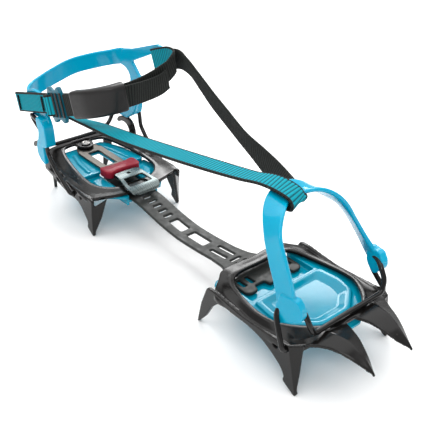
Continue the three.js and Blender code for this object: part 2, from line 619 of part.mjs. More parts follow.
function tack(x) {
  const z = 85.6 + (x + 130) * 0.285;
  return side([[x + 1.2, z - 6], [x + 2.8, z - 5.6], [x - 1.2, z + 6], [x - 2.8, z + 5.6]],
    -42.5, -42);
}

// ---------------------------------------------------------------- buckle and keeper

const BUCKLE_AT = [-94.5, -42.2, 96];

// Ladder buckle in its own plane: u along the webbing, v across it.
const BUCKLE_HALF = [
  [10, 0], [10, 8.6], [9.2, 10.8], [7.8, 12.8], [5.4, 12.4], [2.2, 10.2], [-2.2, 10.2],
  [-5.6, 12.8], [-8, 12.4], [-9.2, 10], [-10, 8.6], [-10, 0],
];

function buckle() {
  const mirrored = BUCKLE_HALF.slice(1, -1).reverse().map(([u, v]) => [u, -v]);
  const slot = (u0, u1) => [[u0, -8.2], [u1, -8.2], [u1, 8.2], [u0, 8.2]];
  const plate = side([...BUCKLE_HALF, ...mirrored], -2, 1,
    [slot(-8.0, -3.4), slot(-1.2, 2.0), slot(4.2, 8.0)]);
  const ribs = [-2.3, 3.1, 9].map((u) => side([[u - 0.9, -8.4], [u + 0.9, -8.4],
    [u + 0.9, 8.4], [u - 0.9, 8.4]], -2.5, -1.6));
  return join([plate, ...ribs]).rotate([0, -16, 0]).translate(BUCKLE_AT);
}

function keeperSleeve() {
  const lane = [
    { at: [-73, -40.2, 102.4], across: [-0.3, 0, 1] },
    { at: [-58.4, -36.4, 106.9], across: [-0.25, 0, 1] },
    { at: [-49.4, -27.7, 110], across: [-0.15, 0, 1] },
    { at: [-46.9, -18, 111.2], across: [-0.06, 0, 1] },
  ];
  return strap(lane, 19, 8.8, 14).subtract(strap(keeperRun(lane), 16, 6.4, 20));
}

function keeperRun(lane) {
  const a = lane[0].at;
  const b = lane[3].at;
  const first = { at: [a[0] - 7, a[1] - 1, a[2] - 2], across: lane[0].across };
  const last = { at: [b[0] + 1.4, b[1] + 7, b[2] + 0.2], across: lane[3].across };
  return [first, ...lane, last];
}

// ---------------------------------------------------------------- assembly

const STEEL = [0x2f2c2b, 0.38, 0.75];
const CYAN = [0x0aa5d2, 0.22, 0];
const TAPE_COLOUR = [0x13a9c4, 0.8, 0];

const PIECES = [
  ['front_frame', frontFrame(), STEEL],
  ['front_antiball_plate', frontAntiball(), CYAN],
  ['linking_bar', linkingBar(), [0x3a3d3b, 0.5, 0.7]],
  ['toe_wire', wire(TOE_WIRE), STEEL],
  ['toe_band', toeBand(), CYAN],
  ['heel_frame', heelFrame(), STEEL],
  ['heel_antiball_plate', heelAntiball(), CYAN],
  ['tab_rivet', tabRivet(), [0x6d6a66, 0.3, 0.9]],
  ['adjuster_blade', adjusterBlade(), [0x9a958d, 0.35, 0.9]],
  ['adjuster_tab', adjusterTab(), [0xb8304f, 0.45, 0]],
  ['adjuster_clip', adjusterClip(), [0xa9b2b0, 0.25, 0.95]],
  ['heel_wire', wire(HEEL_WIRE), STEEL],
  ['heel_band', heelBand(), CYAN],
  ['webbing_stub', webbingStub(), TAPE_COLOUR],
  ['stub_tack_rear', tack(-158), [0x101214, 0.9, 0]],
  ['stub_tack_front', tack(-119), [0x101214, 0.9, 0]],
  ['buckle', buckle(), [0x0b7f96, 0.4, 0]],
  ['webbing_near_leg', tape(NEAR_LEG, 60), TAPE_COLOUR],
  ['webbing_far_leg', tape(FAR_LEG, 36), [0x232423, 0.85, 0]],
  ['webbing_ankle_run', tape(ANKLE_RUN, 40), TAPE_COLOUR],
  ['webbing_tail', tape(TAIL, 30), [0x232423, 0.85, 0]],
  ['keeper_sleeve', keeperSleeve(), [0x1b1b1b, 0.45, 0]],
];

function meshOf([name, solid, [color, roughness, metalness]]) {
  const { vertProperties, triVerts } = solid.getMesh();
  const geometry = new THREE.BufferGeometry();
  geometry.setAttribute('position', new THREE.BufferAttribute(vertProperties, 3));
  geometry.setIndex(new THREE.BufferAttribute(triVerts, 1));
  geometry.computeVertexNormals();
  const material = new THREE.MeshStandardMaterial({ color, roughness, metalness });
  const mesh = new THREE.Mesh(geometry, material);
  mesh.name = name;
  return mesh;
}

const crampon = new THREE.Group();
crampon.name = 'strap_on_crampon';
PIECES.forEach((piece) => crampon.add(meshOf(piece)));

export default crampon;
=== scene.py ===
"""Strap-on walking crampon: the visible model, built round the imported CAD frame.

Lengths in the shape tables are millimetres, in the row frame: +X toe, +Y left, +Z up.
"""
import math

import bmesh
import bpy
import numpy as np
from mathutils import Matrix, Vector


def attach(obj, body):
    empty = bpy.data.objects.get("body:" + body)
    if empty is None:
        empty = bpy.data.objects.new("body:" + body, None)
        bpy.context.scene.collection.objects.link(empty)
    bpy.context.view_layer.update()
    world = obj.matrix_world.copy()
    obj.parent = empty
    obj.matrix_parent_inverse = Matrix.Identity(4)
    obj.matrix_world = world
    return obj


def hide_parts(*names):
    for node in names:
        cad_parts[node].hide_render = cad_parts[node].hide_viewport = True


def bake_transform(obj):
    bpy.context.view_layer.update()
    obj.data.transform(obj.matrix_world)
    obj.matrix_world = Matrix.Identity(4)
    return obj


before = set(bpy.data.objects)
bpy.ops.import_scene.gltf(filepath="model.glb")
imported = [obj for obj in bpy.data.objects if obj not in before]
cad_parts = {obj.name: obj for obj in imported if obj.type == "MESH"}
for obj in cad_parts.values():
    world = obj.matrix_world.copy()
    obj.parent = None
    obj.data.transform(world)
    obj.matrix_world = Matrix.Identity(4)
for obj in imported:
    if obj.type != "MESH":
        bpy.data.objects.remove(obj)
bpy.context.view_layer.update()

MM = 0.001

# Driving sizes, the same as the CAD model's.
SHEET = 2.4
PLATE = 2.2
WIRE = 1.6
HOLE = WIRE + 0.4
TAPE_W, TAPE_T = 15.0, 1.5
BAND_W, BAND_T = 12.5, 2.6
RIB_PITCH = 2.1
SLOT_PITCH, SLOT_COUNT, SLOT_FIRST_X = 6.4, 9, -27.5
TOE_PIVOT = (132.5, 28.2)
HEEL_PIVOT = (-91.0, 26.0)
FLANGE_Y = 40.6
HEEL_FLANGE_Y = 39.8
HEEL_TOP = 37.6
RIVET_X, RIVET_HOLE = -137.5, 2.2
ROD_STEP = 0.8          # spacing of the sections along a wire or thread


# ---------------------------------------------------------------- curves and outlines

def spline(points, count):
    """Centripetal Catmull-Rom curve through the points, at count + 1 even parameter steps."""
    p = np.array(points, float)
    p = np.vstack([2 * p[0] - p[1], p, 2 * p[-1] - p[-2]])
    last = len(p) - 3
    out = []
    for t in np.linspace(0, last, count + 1):
        i = min(int(t), last - 1)
        a, b, c, d = p[i:i + 4]
        k = [0.0]
        for q, r in ((a, b), (b, c), (c, d)):
            k.append(k[-1] + max(np.linalg.norm(r - q), 1e-6) ** 0.5)
        u = k[1] + (t - i) * (k[2] - k[1])
        ab = a + (b - a) * (u - k[0]) / (k[1] - k[0])
        bc = b + (c - b) * (u - k[1]) / (k[2] - k[1])
        cd = c + (d - c) * (u - k[2]) / (k[3] - k[2])
        abc = ab + (bc - ab) * (u - k[0]) / (k[2] - k[0])
        bcd = bc + (cd - bc) * (u - k[1]) / (k[3] - k[1])
        out.append(abc + (bcd - abc) * (u - k[1]) / (k[2] - k[1]))
    return np.array(out)


def filleted(points, radius, steps=4, closed=True):
    """The outline with each corner turned into a short curve."""
    p = [np.array(q, float) for q in points]
    n = len(p)
    out = []
    for i in range(n):
        if not closed and i in (0, n - 1):
            out.append(p[i])
            continue
        back, ahead = p[i - 1] - p[i], p[(i + 1) % n] - p[i]
        lb, la = np.linalg.norm(back), np.linalg.norm(ahead)
        cut = min(radius, 0.45 * lb, 0.45 * la)
        a, b = p[i] + back / lb * cut, p[i] + ahead / la * cut
        for t in np.linspace(0, 1, steps + 1):
            out.append((1 - t) ** 2 * a + 2 * t * (1 - t) * p[i] + t * t * b)
    return np.array(out)


def circle(x, y, radius, sides=24):
    return [(x + radius * math.cos(a), y + radius * math.sin(a))
            for a in np.linspace(0, 2 * math.pi, sides, endpoint=False)]


def rectangle(x0, x1, y0, y1, corner=0.6):
    return filleted([(x0, y0), (x1, y0), (x1, y1), (x0, y1)], corner)


def mirrored(half):
    """A half outline that runs from one point on y = 0 to another, closed by its mirror image."""
    return list(half) + [(x, -y) for x, y in reversed(half) if abs(y) > 1e-6]


def flip(points):
    return [(p[0], -p[1], *p[2:]) for p in points]


# ---------------------------------------------------------------- meshes

def bm_from(verts, faces):
    bm = bmesh.new()
    made = [bm.verts.new(v) for v in verts]
    for f in faces:
        bm.faces.new([made[i] for i in f])
    return bm


def skin(sections, closed=False):
    """A closed bmesh through sections of equal point counts, in mm."""
    n, count = len(sections[0]), len(sections)
    verts = [v for s in sections for v in s]
    faces = []
    for s in range(count if closed else count - 1):
        a, b = s * n, ((s + 1) % count) * n
        faces += [(a + i, b + i, b + (i + 1) % n, a + (i + 1) % n) for i in range(n)]
    if not closed:
        faces += [tuple(range(n)), tuple(reversed(range((count - 1) * n, count * n)))]
    bm = bm_from(verts, faces)
    bmesh.ops.recalc_face_normals(bm, faces=bm.faces)
    return bm


def sheet_metal(outline, holes, low, high, plane="xy", edge=0.0):
    """A flat plate with holes between two heights, its edges rounded by edge, as a bmesh in mm."""
    data = bpy.data.curves.new("plate", "CURVE")
    data.dimensions = "2D"
    data.fill_mode = "BOTH"
    data.extrude = (high - low) / 2 - edge
    data.bevel_depth = edge
    data.bevel_resolution = 2
    data.offset = -edge
    for ring in [outline, *holes]:
        s = data.splines.new("POLY")
        s.points.add(len(ring) - 1)
        s.use_cyclic_u = True
        for point, (u, v) in zip(s.points, ring):
            point.co = (u, v, 0, 1)
    holder = bpy.data.objects.new("plate", data)
    bpy.context.scene.collection.objects.link(holder)
    bpy.context.view_layer.update()
    mesh = holder.evaluated_get(bpy.context.evaluated_depsgraph_get()).to_mesh()
    bm = bmesh.new()
    bm.from_mesh(mesh)
    bpy.data.objects.remove(holder)
    bmesh.ops.remove_doubles(bm, verts=bm.verts, dist=1e-4)
    middle = (low + high) / 2
    for v in bm.verts:
        u, w, h = v.co
        v.co = (u, w, h + middle) if plane == "xy" else (u, middle + h, w)
    bmesh.ops.recalc_face_normals(bm, faces=bm.faces)
    return bm


def facet(points, thickness):
    t = np.array(thickness, float)
    return skin([[tuple(p) for p in points], [tuple(np.array(p) + t) for p in points]])


def block(x0, x1, y0, y1, z0, z1):
    return sheet_metal(rectangle(x0, x1, y0, y1, 0.3), [], z0, z1)


def merged(parts):
    bm = bmesh.new()
    for part in parts:
        mesh = bpy.data.meshes.new("part")
        part.to_mesh(mesh)
        bm.from_mesh(mesh)
        part.free()
        bpy.data.meshes.remove(mesh)
    return bm


def piece(name, bm, materials, body, nodes=(), smooth=True):
    """Turns a bmesh in mm into a named piece in metres that rides on a body."""
    bmesh.ops.scale(bm, vec=(MM,) * 3, verts=bm.verts)
    mesh = bpy.data.meshes.new(name)
    bm.to_mesh(mesh)
    bm.free()
    materials = materials if isinstance(materials, (list, tuple)) else [materials]
    for m in materials:
        mesh.materials.append(m)
    for p in mesh.polygons:
        p.use_smooth = smooth
    obj = bpy.data.objects.new(name, mesh)
    bpy.context.scene.collection.objects.link(obj)
    if body:
        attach(obj, body)
    if nodes:
        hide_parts(*nodes)
    return obj


def fused(parts, voxel=0.45, rounds=3):
    """Overlapping closed parts as one skin, with every edge and inner corner softly rounded."""
    bm = merged(parts)
    mesh = bpy.data.meshes.new("fuse")
    bm.to_mesh(mesh)
    bm.free()
    obj = bpy.data.objects.new("fuse", mesh)
    bpy.context.scene.collection.objects.link(obj)
    remesh = obj.modifiers.new("remesh", "REMESH")
    remesh.mode = "VOXEL"
    remesh.voxel_size = voxel
    soften = obj.modifiers.new("soften", "SMOOTH")
    soften.factor = 0.5
    soften.iterations = rounds
    bpy.context.view_layer.update()
    result = obj.evaluated_get(bpy.context.evaluated_depsgraph_get()).to_mesh()
    out = bmesh.new()
    out.from_mesh(result)
    bpy.data.objects.remove(obj)
    return out


def tube(path, radius, fillet=3.0, sides=16):
    """Round rod along a bent path, with domed ends."""
    line = filleted(path, fillet, 8, closed=False)
    step = np.linalg.norm(np.diff(line, axis=0), axis=1)
    along = np.concatenate([[0], np.cumsum(step)])
    even = np.arange(0, along[-1], ROD_STEP)
    line = np.stack([np.interp(even, along, line[:, k]) for k in range(3)], axis=1)
    tangent = np.gradient(line, axis=0)
    tangent /= np.linalg.norm(tangent, axis=1)[:, None]
    side = np.cross(tangent[0], (0.3, 0.9, 0.2))
    sections = []
    total = len(line)
    for i in range(total):
        side = side - tangent[i] * (side @ tangent[i])
        side /= np.linalg.norm(side)
        other = np.cross(tangent[i], side)
        ends = min(i, total - 1 - i) * ROD_STEP
        r = radius * math.sqrt(max(0.09, 1 - max(0.0, 1 - ends / radius) ** 2))
        sections.append([tuple(line[i] + r * (math.cos(a) * side + math.sin(a) * other))
                         for a in np.linspace(0, 2 * math.pi, sides, endpoint=False)])
    return skin(sections)


# ---------------------------------------------------------------- ribbons

def lane(stations, step):
    """Even stations along a strap: centre, across, normal and distance, in mm."""
    centre = spline([s[0] for s in stations], 40 * (len(stations) - 1))
    across = spline([s[1] for s in stations], 40 * (len(stations) - 1))
    gaps = np.linalg.norm(np.diff(centre, axis=0), axis=1)
    along = np.concatenate([[0], np.cumsum(gaps)])
    even = np.linspace(0, along[-1], max(3, int(along[-1] / step)) + 1)
    centre = np.stack([np.interp(even, along, centre[:, k]) for k in range(3)], axis=1)
    across = np.stack([np.interp(even, along, across[:, k]) for k in range(3)], axis=1)
    tangent = np.gradient(centre, axis=0)
    tangent /= np.linalg.norm(tangent, axis=1)[:, None]
    across -= tangent * np.sum(across * tangent, axis=1)[:, None]
    across /= np.linalg.norm(across, axis=1)[:, None]
    return centre, across, np.cross(tangent, across), even


def rounded_section(width, thickness, corner, crown=0.0, per_side=8):
    """Cross-section points (u, v), anticlockwise from the lower left."""
    h, t = width / 2, thickness / 2
    us = np.linspace(-h + corner, h - corner, per_side + 1)
    lift = crown * (1 - (us / h) ** 2)
    arc = np.linspace(0, math.pi / 2, 4)[1:-1]
    low = [(u, -t + c) for u, c in zip(us, lift)]
    right = ([(h - corner + corner * math.sin(a), -t + corner - corner * math.cos(a)) for a in arc]
             + [(h, -t + corner), (h, t - corner)]
             + [(h - corner + corner * math.cos(a), t - corner + corner * math.sin(a))
                for a in arc])
    high = [(u, t + c) for u, c in zip(us[::-1], lift)]
    left = [(-u, -v) for u, v in right]
    return low + right + high + left


def ribbon(stations, section, step=1.0):
    """A band of one cross-section swept along its stations."""
    centre, across, normal, _ = lane(stations, step)
    return skin([[tuple(c + w * u + n * v) for u, v in section]
                 for c, w, n in zip(centre, across, normal)])


# ---------------------------------------------------------------- materials

def shader(name, colour, roughness, metallic=0.0):
    m = bpy.data.materials.new(name)
    m.use_nodes = True
    nt = m.node_tree
    b = nt.nodes["Principled BSDF"]
    b.inputs["Base Color"].default_value = (*colour, 1)
    b.inputs["Roughness"].default_value = roughness
    b.inputs["Metallic"].default_value = metallic
    m.diffuse_color = (*colour, 1)
    return m, nt, b


def node(nt, kind, **values):
    n = nt.nodes.new("ShaderNode" + kind)
    for key, value in values.items():
        if key in n.inputs:
            n.inputs[key].default_value = value
        else:
            setattr(n, key, value)
    return n


def noise(nt, scale, detail=3.0, roughness=0.55, stretch=(1, 1, 1)):
    where = node(nt, "TexCoord")
    shape = node(nt, "Mapping")
    shape.inputs["Scale"].default_value = stretch
    n = node(nt, "TexNoise", Scale=scale, Detail=detail, Roughness=roughness)
    nt.links.new(where.outputs["Object"], shape.inputs["Vector"])
    nt.links.new(shape.outputs["Vector"], n.inputs["Vector"])
    return n.outputs["Fac"]


def remap(nt, source, low, high, to_low, to_high):
    n = node(nt, "MapRange")
    limits = {"From Min": low, "From Max": high, "To Min": to_low, "To Max": to_high}
    for key, value in limits.items():
        n.inputs[key].default_value = value
    nt.links.new(source, n.inputs["Value"])
    return n.outputs["Result"]


def mix(nt, factor, a, b):
    n = node(nt, "Mix", data_type="RGBA", blend_type="MIX")
    for socket, value in ((n.inputs[0], factor), (n.inputs[6], a), (n.inputs[7], b)):
        if hasattr(value, "is_linked"):
            nt.links.new(value, socket)
        elif isinstance(value, tuple):
            socket.default_value = (*value, 1)
        else:
            socket.default_value = value
    return n.outputs[2]


def bump(nt, b, height, strength, distance=0.0002):
    n = node(nt, "Bump", Strength=strength, Distance=distance)
    nt.links.new(height, n.inputs["Height"])
    nt.links.new(n.outputs["Normal"], b.inputs["Normal"])


def coated_steel(name, colour, edge_highlight, roughness, metallic, peel=0.25):
    """Glossy paint over steel: slow tone changes, orange peel, and a painted highlight, a lighter
    colour on the sharply convex edges.
    """
    m, nt, b = shader(name, colour, roughness, metallic)
    b.inputs["Specular IOR Level"].default_value = 0.3
    tone = noise(nt, 55, 4)
    base = mix(nt, remap(nt, tone, 0.3, 0.7, 0, 0.5), colour, tuple(1.5 * c for c in colour))
    # Painted highlight: the sharply convex edges, found by pointiness, are mixed towards the
    # lighter second colour.
    edge = node(nt, "NewGeometry").outputs["Pointiness"]
    edge = remap(nt, edge, 0.53, 0.62, 0, 0.75)
    nt.links.new(mix(nt, edge, base, edge_highlight), b.inputs["Base Color"])
    nt.links.new(remap(nt, noise(nt, 260, 5), 0.3, 0.7, roughness * 0.75, roughness * 1.35),
                 b.inputs["Roughness"])
    bump(nt, b, noise(nt, 1500, 2), peel, 0.00004)
    return m


def moulded(name, colour, deep, roughness, glow=0.0, scatter=0.003):
    """Glossy coloured plastic with faint flow marks and a little light inside it."""
    m, nt, b = shader(name, colour, roughness, 0.0)
    b.inputs["Subsurface Weight"].default_value = glow
    b.inputs["Subsurface Radius"].default_value = (0.25, 1.0, 1.4)
    b.inputs["Subsurface Scale"].default_value = scatter
    b.inputs["Coat Weight"].default_value = 0.12
    b.inputs["Specular IOR Level"].default_value = 0.25
    b.inputs["Coat Roughness"].default_value = 0.06
    tone = remap(nt, noise(nt, 28, 3, stretch=(1, 1, 0.5)), 0.3, 0.7, 0, 1)
    nt.links.new(mix(nt, tone, colour, deep), b.inputs["Base Color"])
    nt.links.new(remap(nt, noise(nt, 400, 4), 0.3, 0.7, roughness * 0.8, roughness * 1.3),
                 b.inputs["Roughness"])
    bump(nt, b, noise(nt, 700, 2), 0.10, 0.00005)
    return m


def brushed(name, colour, roughness, stretch=(1, 40, 1)):
    m, nt, b = shader(name, colour, roughness, 1.0)
    grain = noise(nt, 160, 5, 0.7, stretch)
    shade = tuple(0.75 * c for c in colour)
    nt.links.new(mix(nt, remap(nt, grain, 0.3, 0.7, 0, 1), shade, colour), b.inputs["Base Color"])
    nt.links.new(remap(nt, grain, 0.3, 0.7, roughness * 0.8, roughness * 1.4),
                 b.inputs["Roughness"])
    bump(nt, b, grain, 0.08, 0.00005)
    return m


def woven(name, light, dark, roughness=0.75):
    """Webbing: ribs across it with a fine weave between, read from the strap's own UV map; the
    grooves between the ribs carry painted shade.
    """
    m, nt, b = shader(name, light, roughness, 0.0)
    b.inputs["Sheen Weight"].default_value = 0.02
    b.inputs["Specular IOR Level"].default_value = 0.15
    b.inputs["Sheen Roughness"].default_value = 0.5
    uv = node(nt, "UVMap", uv_map="strap")
    split = node(nt, "SeparateXYZ")
    nt.links.new(uv.outputs["UV"], split.inputs["Vector"])

    def wave(source, turns, phase=0.0):
        times = node(nt, "Math", operation="MULTIPLY_ADD")
        times.inputs[1].default_value = turns * 2 * math.pi
        times.inputs[2].default_value = phase
        nt.links.new(source, times.inputs[0])
        sine = node(nt, "Math", operation="SINE")
        nt.links.new(times.outputs[0], sine.inputs[0])
        return sine.outputs[0]

    rib = wave(split.outputs["X"], 1.0, -math.pi / 2)
    across = wave(split.outputs["Y"], 14.0)
    fine = wave(split.outputs["X"], 4.0)
    weave = node(nt, "Math", operation="MULTIPLY")
    nt.links.new(across, weave.inputs[0])
    nt.links.new(fine, weave.inputs[1])
    # Painted shade: the grooves between the ribs are mixed towards the dark colour.
    shade = remap(nt, rib, -1, 0.1, 1, 0)
    base = mix(nt, shade, light, dark)
    base = mix(nt, remap(nt, weave.outputs[0], -1, 1, 0.22, 0), base, dark)
    fuzz = remap(nt, noise(nt, 300, 5), 0.35, 0.75, 0, 0.3)
    nt.links.new(mix(nt, fuzz, base, tuple(0.6 * c for c in light)), b.inputs["Base Color"])
    bump(nt, b, weave.outputs[0], 0.35, 0.00012)
    return m


# The second colour given to each coat is its painted edge highlight.
STEEL = coated_steel("frame_coat", (0.0045, 0.0040, 0.0038), (0.022, 0.020, 0.018), 0.20, 0.0, 0.12)
BAR_STEEL = coated_steel("bar_coat", (0.016, 0.018, 0.0165), (0.05, 0.05, 0.047), 0.42, 0.0, 0.4)
WIRE_STEEL = coated_steel("wire_coat", (0.005, 0.0048, 0.0048), (0.02, 0.02, 0.02), 0.16, 0.0, 0.1)
RIVET_STEEL = brushed("rivet_steel", (0.30, 0.29, 0.28), 0.28)
SATIN_STEEL = brushed("satin_steel", (0.115, 0.108, 0.096), 0.34)
# Painted reflection: this polished steel's colour is tinted teal to stand for the cyan plate it
# mirrors.
BRIGHT_STEEL = brushed("bright_steel", (0.135, 0.16, 0.16), 0.24)
PLATE_CYAN = moulded("plate_cyan", (0.0, 0.30, 0.43), (0.0, 0.24, 0.36), 0.12, 0.05)
BAND_CYAN = moulded("band_cyan", (0.0, 0.35, 0.53), (0.0, 0.30, 0.47), 0.14, 0.25)
TAB_RED = moulded("tab_red", (0.30, 0.006, 0.024), (0.24, 0.005, 0.019), 0.5, 0.05)
BUCKLE_TEAL = moulded("buckle_teal", (0.0, 0.11, 0.16), (0.0, 0.09, 0.14), 0.32, 0.0)
BUCKLE_BLACK = moulded("buckle_black", (0.012, 0.012, 0.013), (0.02, 0.02, 0.02), 0.35, 0.0)
RUBBER = moulded("sleeve_rubber", (0.011, 0.010, 0.010), (0.018, 0.017, 0.017), 0.38, 0.0)
# The second colour of each webbing is the painted shade of its rib grooves, also used for the
# darker threads of the weave.
TAPE_CYAN = woven("webbing_cyan", (0.0, 0.34, 0.43), (0.0, 0.055, 0.075))
TAPE_BLACK = woven("webbing_black", (0.019, 0.022, 0.020), (0.004, 0.004, 0.004))
THREAD = woven("thread_black", (0.010, 0.010, 0.011), (0.003, 0.003, 0.003))


# ---------------------------------------------------------------- frames

# Half rings, front to rear: inner x, inner y, outer x, outer y, lip height, fall to the crease.
FRONT_RING = [
    (137.0, 0, 142.5, 0, 35.0, 0.6), (137.0, 13, 142.5, 16, 35.0, 0.6),
    (134.5, 18.5, 142.0, 30, 34.8, 1.6), (127.0, 25.5, 138.5, 37.5, 34.0, 3.6),
    (118.0, 31.0, 130.0, 40.6, 33.0, 4.4), (108.0, 32.6, 112.0, 40.6, 32.2, 4.4),
    (97.0, 31.8, 97.0, 40.6, 31.6, 4.2), (84.0, 29.2, 82.0, 40.6, 31.8, 4.0),
    (75.0, 26.4, 72.5, 40.6, 32.6, 3.6), (70.5, 22.5, 64.5, 30.5, 33.4, 1.4),
    (69.0, 17.0, 60.5, 24.5, 33.8, 0.6), (69.0, 0, 60.5, 0, 33.8, 0.6),
]
HEEL_RING = [
    (-70.5, 0, -60.0, 0, 32.2, 0.8), (-70.5, 12, -60.0, 14, 32.2, 0.8),
    (-73.0, 19.5, -64.0, 29, 32.6, 1.2), (-80.0, 25.5, -71.0, 39.8, 33.2, 2.4),
    (-92.0, 27.5, -92.0, 39.8, 34.2, 3.0), (-108.0, 26.0, -110.0, 39.8, 35.4, 3.4),
    (-122.0, 23.5, -130.0, 39.8, 36.4, 3.6), (-134.0, 20.5, -143.0, 33.0, 37.2, 2.4),
    (-141.0, 17.0, -149.0, 26.5, 37.6, 0.8), (-143.0, 12.0, -151.0, 18.0, 37.6, 0.6),
    (-143.0, 0, -151.0, 0, 37.6, 0.6),
]


def ring(half, lip):
    """Pressed ring: a flat rolled lip round the opening, then a hollow shoulder to the crease."""
    rows = [*half, *[(a, -b, c, -d, e, f) for a, b, c, d, e, f in reversed(half[1:-1])]]
    rows = np.array(rows)
    again = np.vstack([rows[-2:], rows, rows[:3]])
    smooth = spline(again, 8 * (len(again) - 1))[16:-16]
    sections = []
    for xi, yi, xo, yo, top, fall in smooth:
        run = math.hypot(xo - xi, yo - yi)
        def at(share, drop):
            return (xi + (xo - xi) * share, yi + (yo - yi) * share, top - drop)
        flat = min(lip / run, 0.5)
        halfway = (flat + 1) / 2
        sag = fall * 0.62
        upper = [at(0, 0.5), at(0.04, 0.0), at(flat, 0.0), at(halfway, sag), at(1, fall)]
        lower = [at(s, 0) for s in (1, halfway, flat, 0)]
        drops = (fall, sag, 0.0, 0.0)
        sections.append(upper + [(x, y, z - d - SHEET) for (x, y, z), d in zip(lower, drops)])
    return skin(sections, closed=True)


FRONT_FLANGE = [
    (65.5, 30.5), (72.5, 31.0), (84, 29.6), (97, 28.4), (112, 29.0), (128, 30.2), (134.5, 31.5),
    (138.2, 17), (141.9, 1.2), (141.5, 0), (140.6, 0),
    (131.2, 5.2), (132.3, 8.6), (129.4, 13.4), (122.6, 18.2), (115, 22.2), (106, 24.4), (97, 25.3),
    (84, 25.6), (75.5, 24.2), (70, 18.5), (64.2, 8), (57.6, 0), (56.4, 0), (60, 16),
]
FRONT_FOLD = [(134.2, 40.6, 31.2), (140.6, 35.4, 33.0), (141.4, 37.6, 14), (141.9, 40.0, 0.6),
              (137.9, 40.6, 16)]
# Front point: x, outer y, outer z, rib y, rib z, inner y, inner z.
FRONT_POINT = [
    (139.0, 33.5, 31.6, 19.5, 34.6, 3.2, 33.4), (143.5, 30.2, 33.0, 19.0, 36.0, 4.2, 34.0),
    (149.0, 26.8, 33.5, 18.2, 36.6, 6.0, 34.2), (155.0, 24.3, 33.0, 17.2, 36.4, 7.6, 33.3),
    (161.0, 21.9, 31.2, 16.4, 34.2, 9.6, 30.9), (167.0, 19.2, 28.4, 16.0, 30.6, 12.0, 28.0),
    (171.6, 17.2, 26.0, 16.0, 27.2, 14.6, 25.8), (174.0, 16.5, 24.6, 16.0, 25.0, 15.5, 24.6),
]


def front_point(side):
    """One forward point, on side 1 (+Y) or -1, thinner towards its tip."""
    sections = []
    rows = spline(FRONT_POINT, 42)
    for i, (x, yo, zo, yr, zr, yi, zi) in enumerate(rows):
        t = SHEET - i / len(rows) * 1.2
        upper = [(x, side * yo, zo), (x, side * yr, zr), (x, side * yi, zi)]
        sections.append(upper + [(x, y, z - t) for x, y, z in reversed(upper)])
    return skin(sections)


def inward_facets(outline, along_x, inward):
    """A thin facet on each side of a frame, thickened along x and towards the middle."""
    return [facet(outline, (along_x, -inward, 0)), facet(flip(outline), (along_x, inward, 0))]


def flange_span(y, side):
    """The two faces, low then high, of an upright flange whose outer face is y from the middle."""
    return sorted((side * y, side * (y - SHEET)))


def front_frame():
    holes = [circle(*TOE_PIVOT, HOLE), circle(TOE_PIVOT[0] - 8, TOE_PIVOT[1] - 2, 2.4)]
    outline = filleted(FRONT_FLANGE, 1.6)
    flanges = [sheet_metal(outline, holes, *flange_span(FLANGE_Y, s), "xz") for s in (1, -1)]
    folds = inward_facets(FRONT_FOLD, -1.3, 1.6)
    points = [front_point(s) for s in (1, -1)]
    bm = fused([ring(FRONT_RING, 3), *flanges, *folds, *points], 0.45, 4)
    piece("front_frame_steel", bm, STEEL, "front_section", ["front_frame"])


HEEL_FLANGE = [
    (-133, 34), (-130, 33.6), (-110, 32.4), (-92, 31.6), (-71, 31.2), (-65, 30.5), (-66.6, 16),
    (-66.9, 0.6), (-67.4, 0), (-68.4, 0), (-75.2, 4.8), (-73.6, 9.6), (-81.5, 19), (-86.5, 22),
    (-100, 22.4), (-112, 25), (-122, 27.6), (-133, 30.2),
]
HEEL_FOLD = [(-66.4, 39.8, 24), (-59.5, 31.0, 31.6), (-62.4, 34.6, 16), (-66.9, 39.4, 0.6)]
HEEL_REAR_POINT = [(-151.0, 26.4, 36.4), (-143.6, 29.4, 35.8), (-144.6, 27.8, 20),
                   (-151.6, 24.8, 0), (-152.8, 24.6, 0)]
HORN = [
    (-124, 31), (-123.6, 43), (-126, 49), (-131, 52.0), (-139, 51.8), (-147, 48.4), (-149.4, 44.6),
    (-146.6, 43.6), (-141.4, 46.4), (-135.4, 46.2), (-131.4, 42.4), (-130.6, 36), (-131, 31),
]
REAR_TAB = [(-149, -7), (-138, -7), (-133, -4.5), (-131, 0), (-133, 4.5), (-138, 7), (-149, 7)]


def heel_frame():
    holes = [circle(*HEEL_PIVOT, HOLE), circle(-112, 31.4, 4.4), circle(-81, 27, 1.5)]
    parts = [ring(HEEL_RING, 3)]
    for s in (1, -1):
        span = flange_span(HEEL_FLANGE_Y, s)
        parts.append(sheet_metal(filleted(HEEL_FLANGE, 1.6), holes, *span, "xz"))
        parts.append(sheet_metal(filleted(HORN, 2.2), [], *span, "xz"))
    parts.append(sheet_metal(filleted(REAR_TAB, 1.5), [circle(RIVET_X, 0, RIVET_HOLE)],
                             HEEL_TOP - SHEET, HEEL_TOP))
    parts += inward_facets(HEEL_FOLD, -1.2, 1.7)
    parts += inward_facets(HEEL_REAR_POINT, 0.6, SHEET)
    piece("heel_frame_steel", fused(parts, 0.45, 4), STEEL, "heel_section",
          ["heel_frame"])


# ---------------------------------------------------------------- anti-balling plates

def rim(outline, middle, shares, heights):
    """A raised closed border: one outline shrunk toward a middle point by each share in turn."""
    rows = []
    for x, y in filleted(outline, 3.0):
        rows.append([(middle[0] + k * (x - middle[0]), middle[1] + k * (y - middle[1]), z)
                     for k, z in zip(shares, heights)])
    return skin(rows, closed=True)


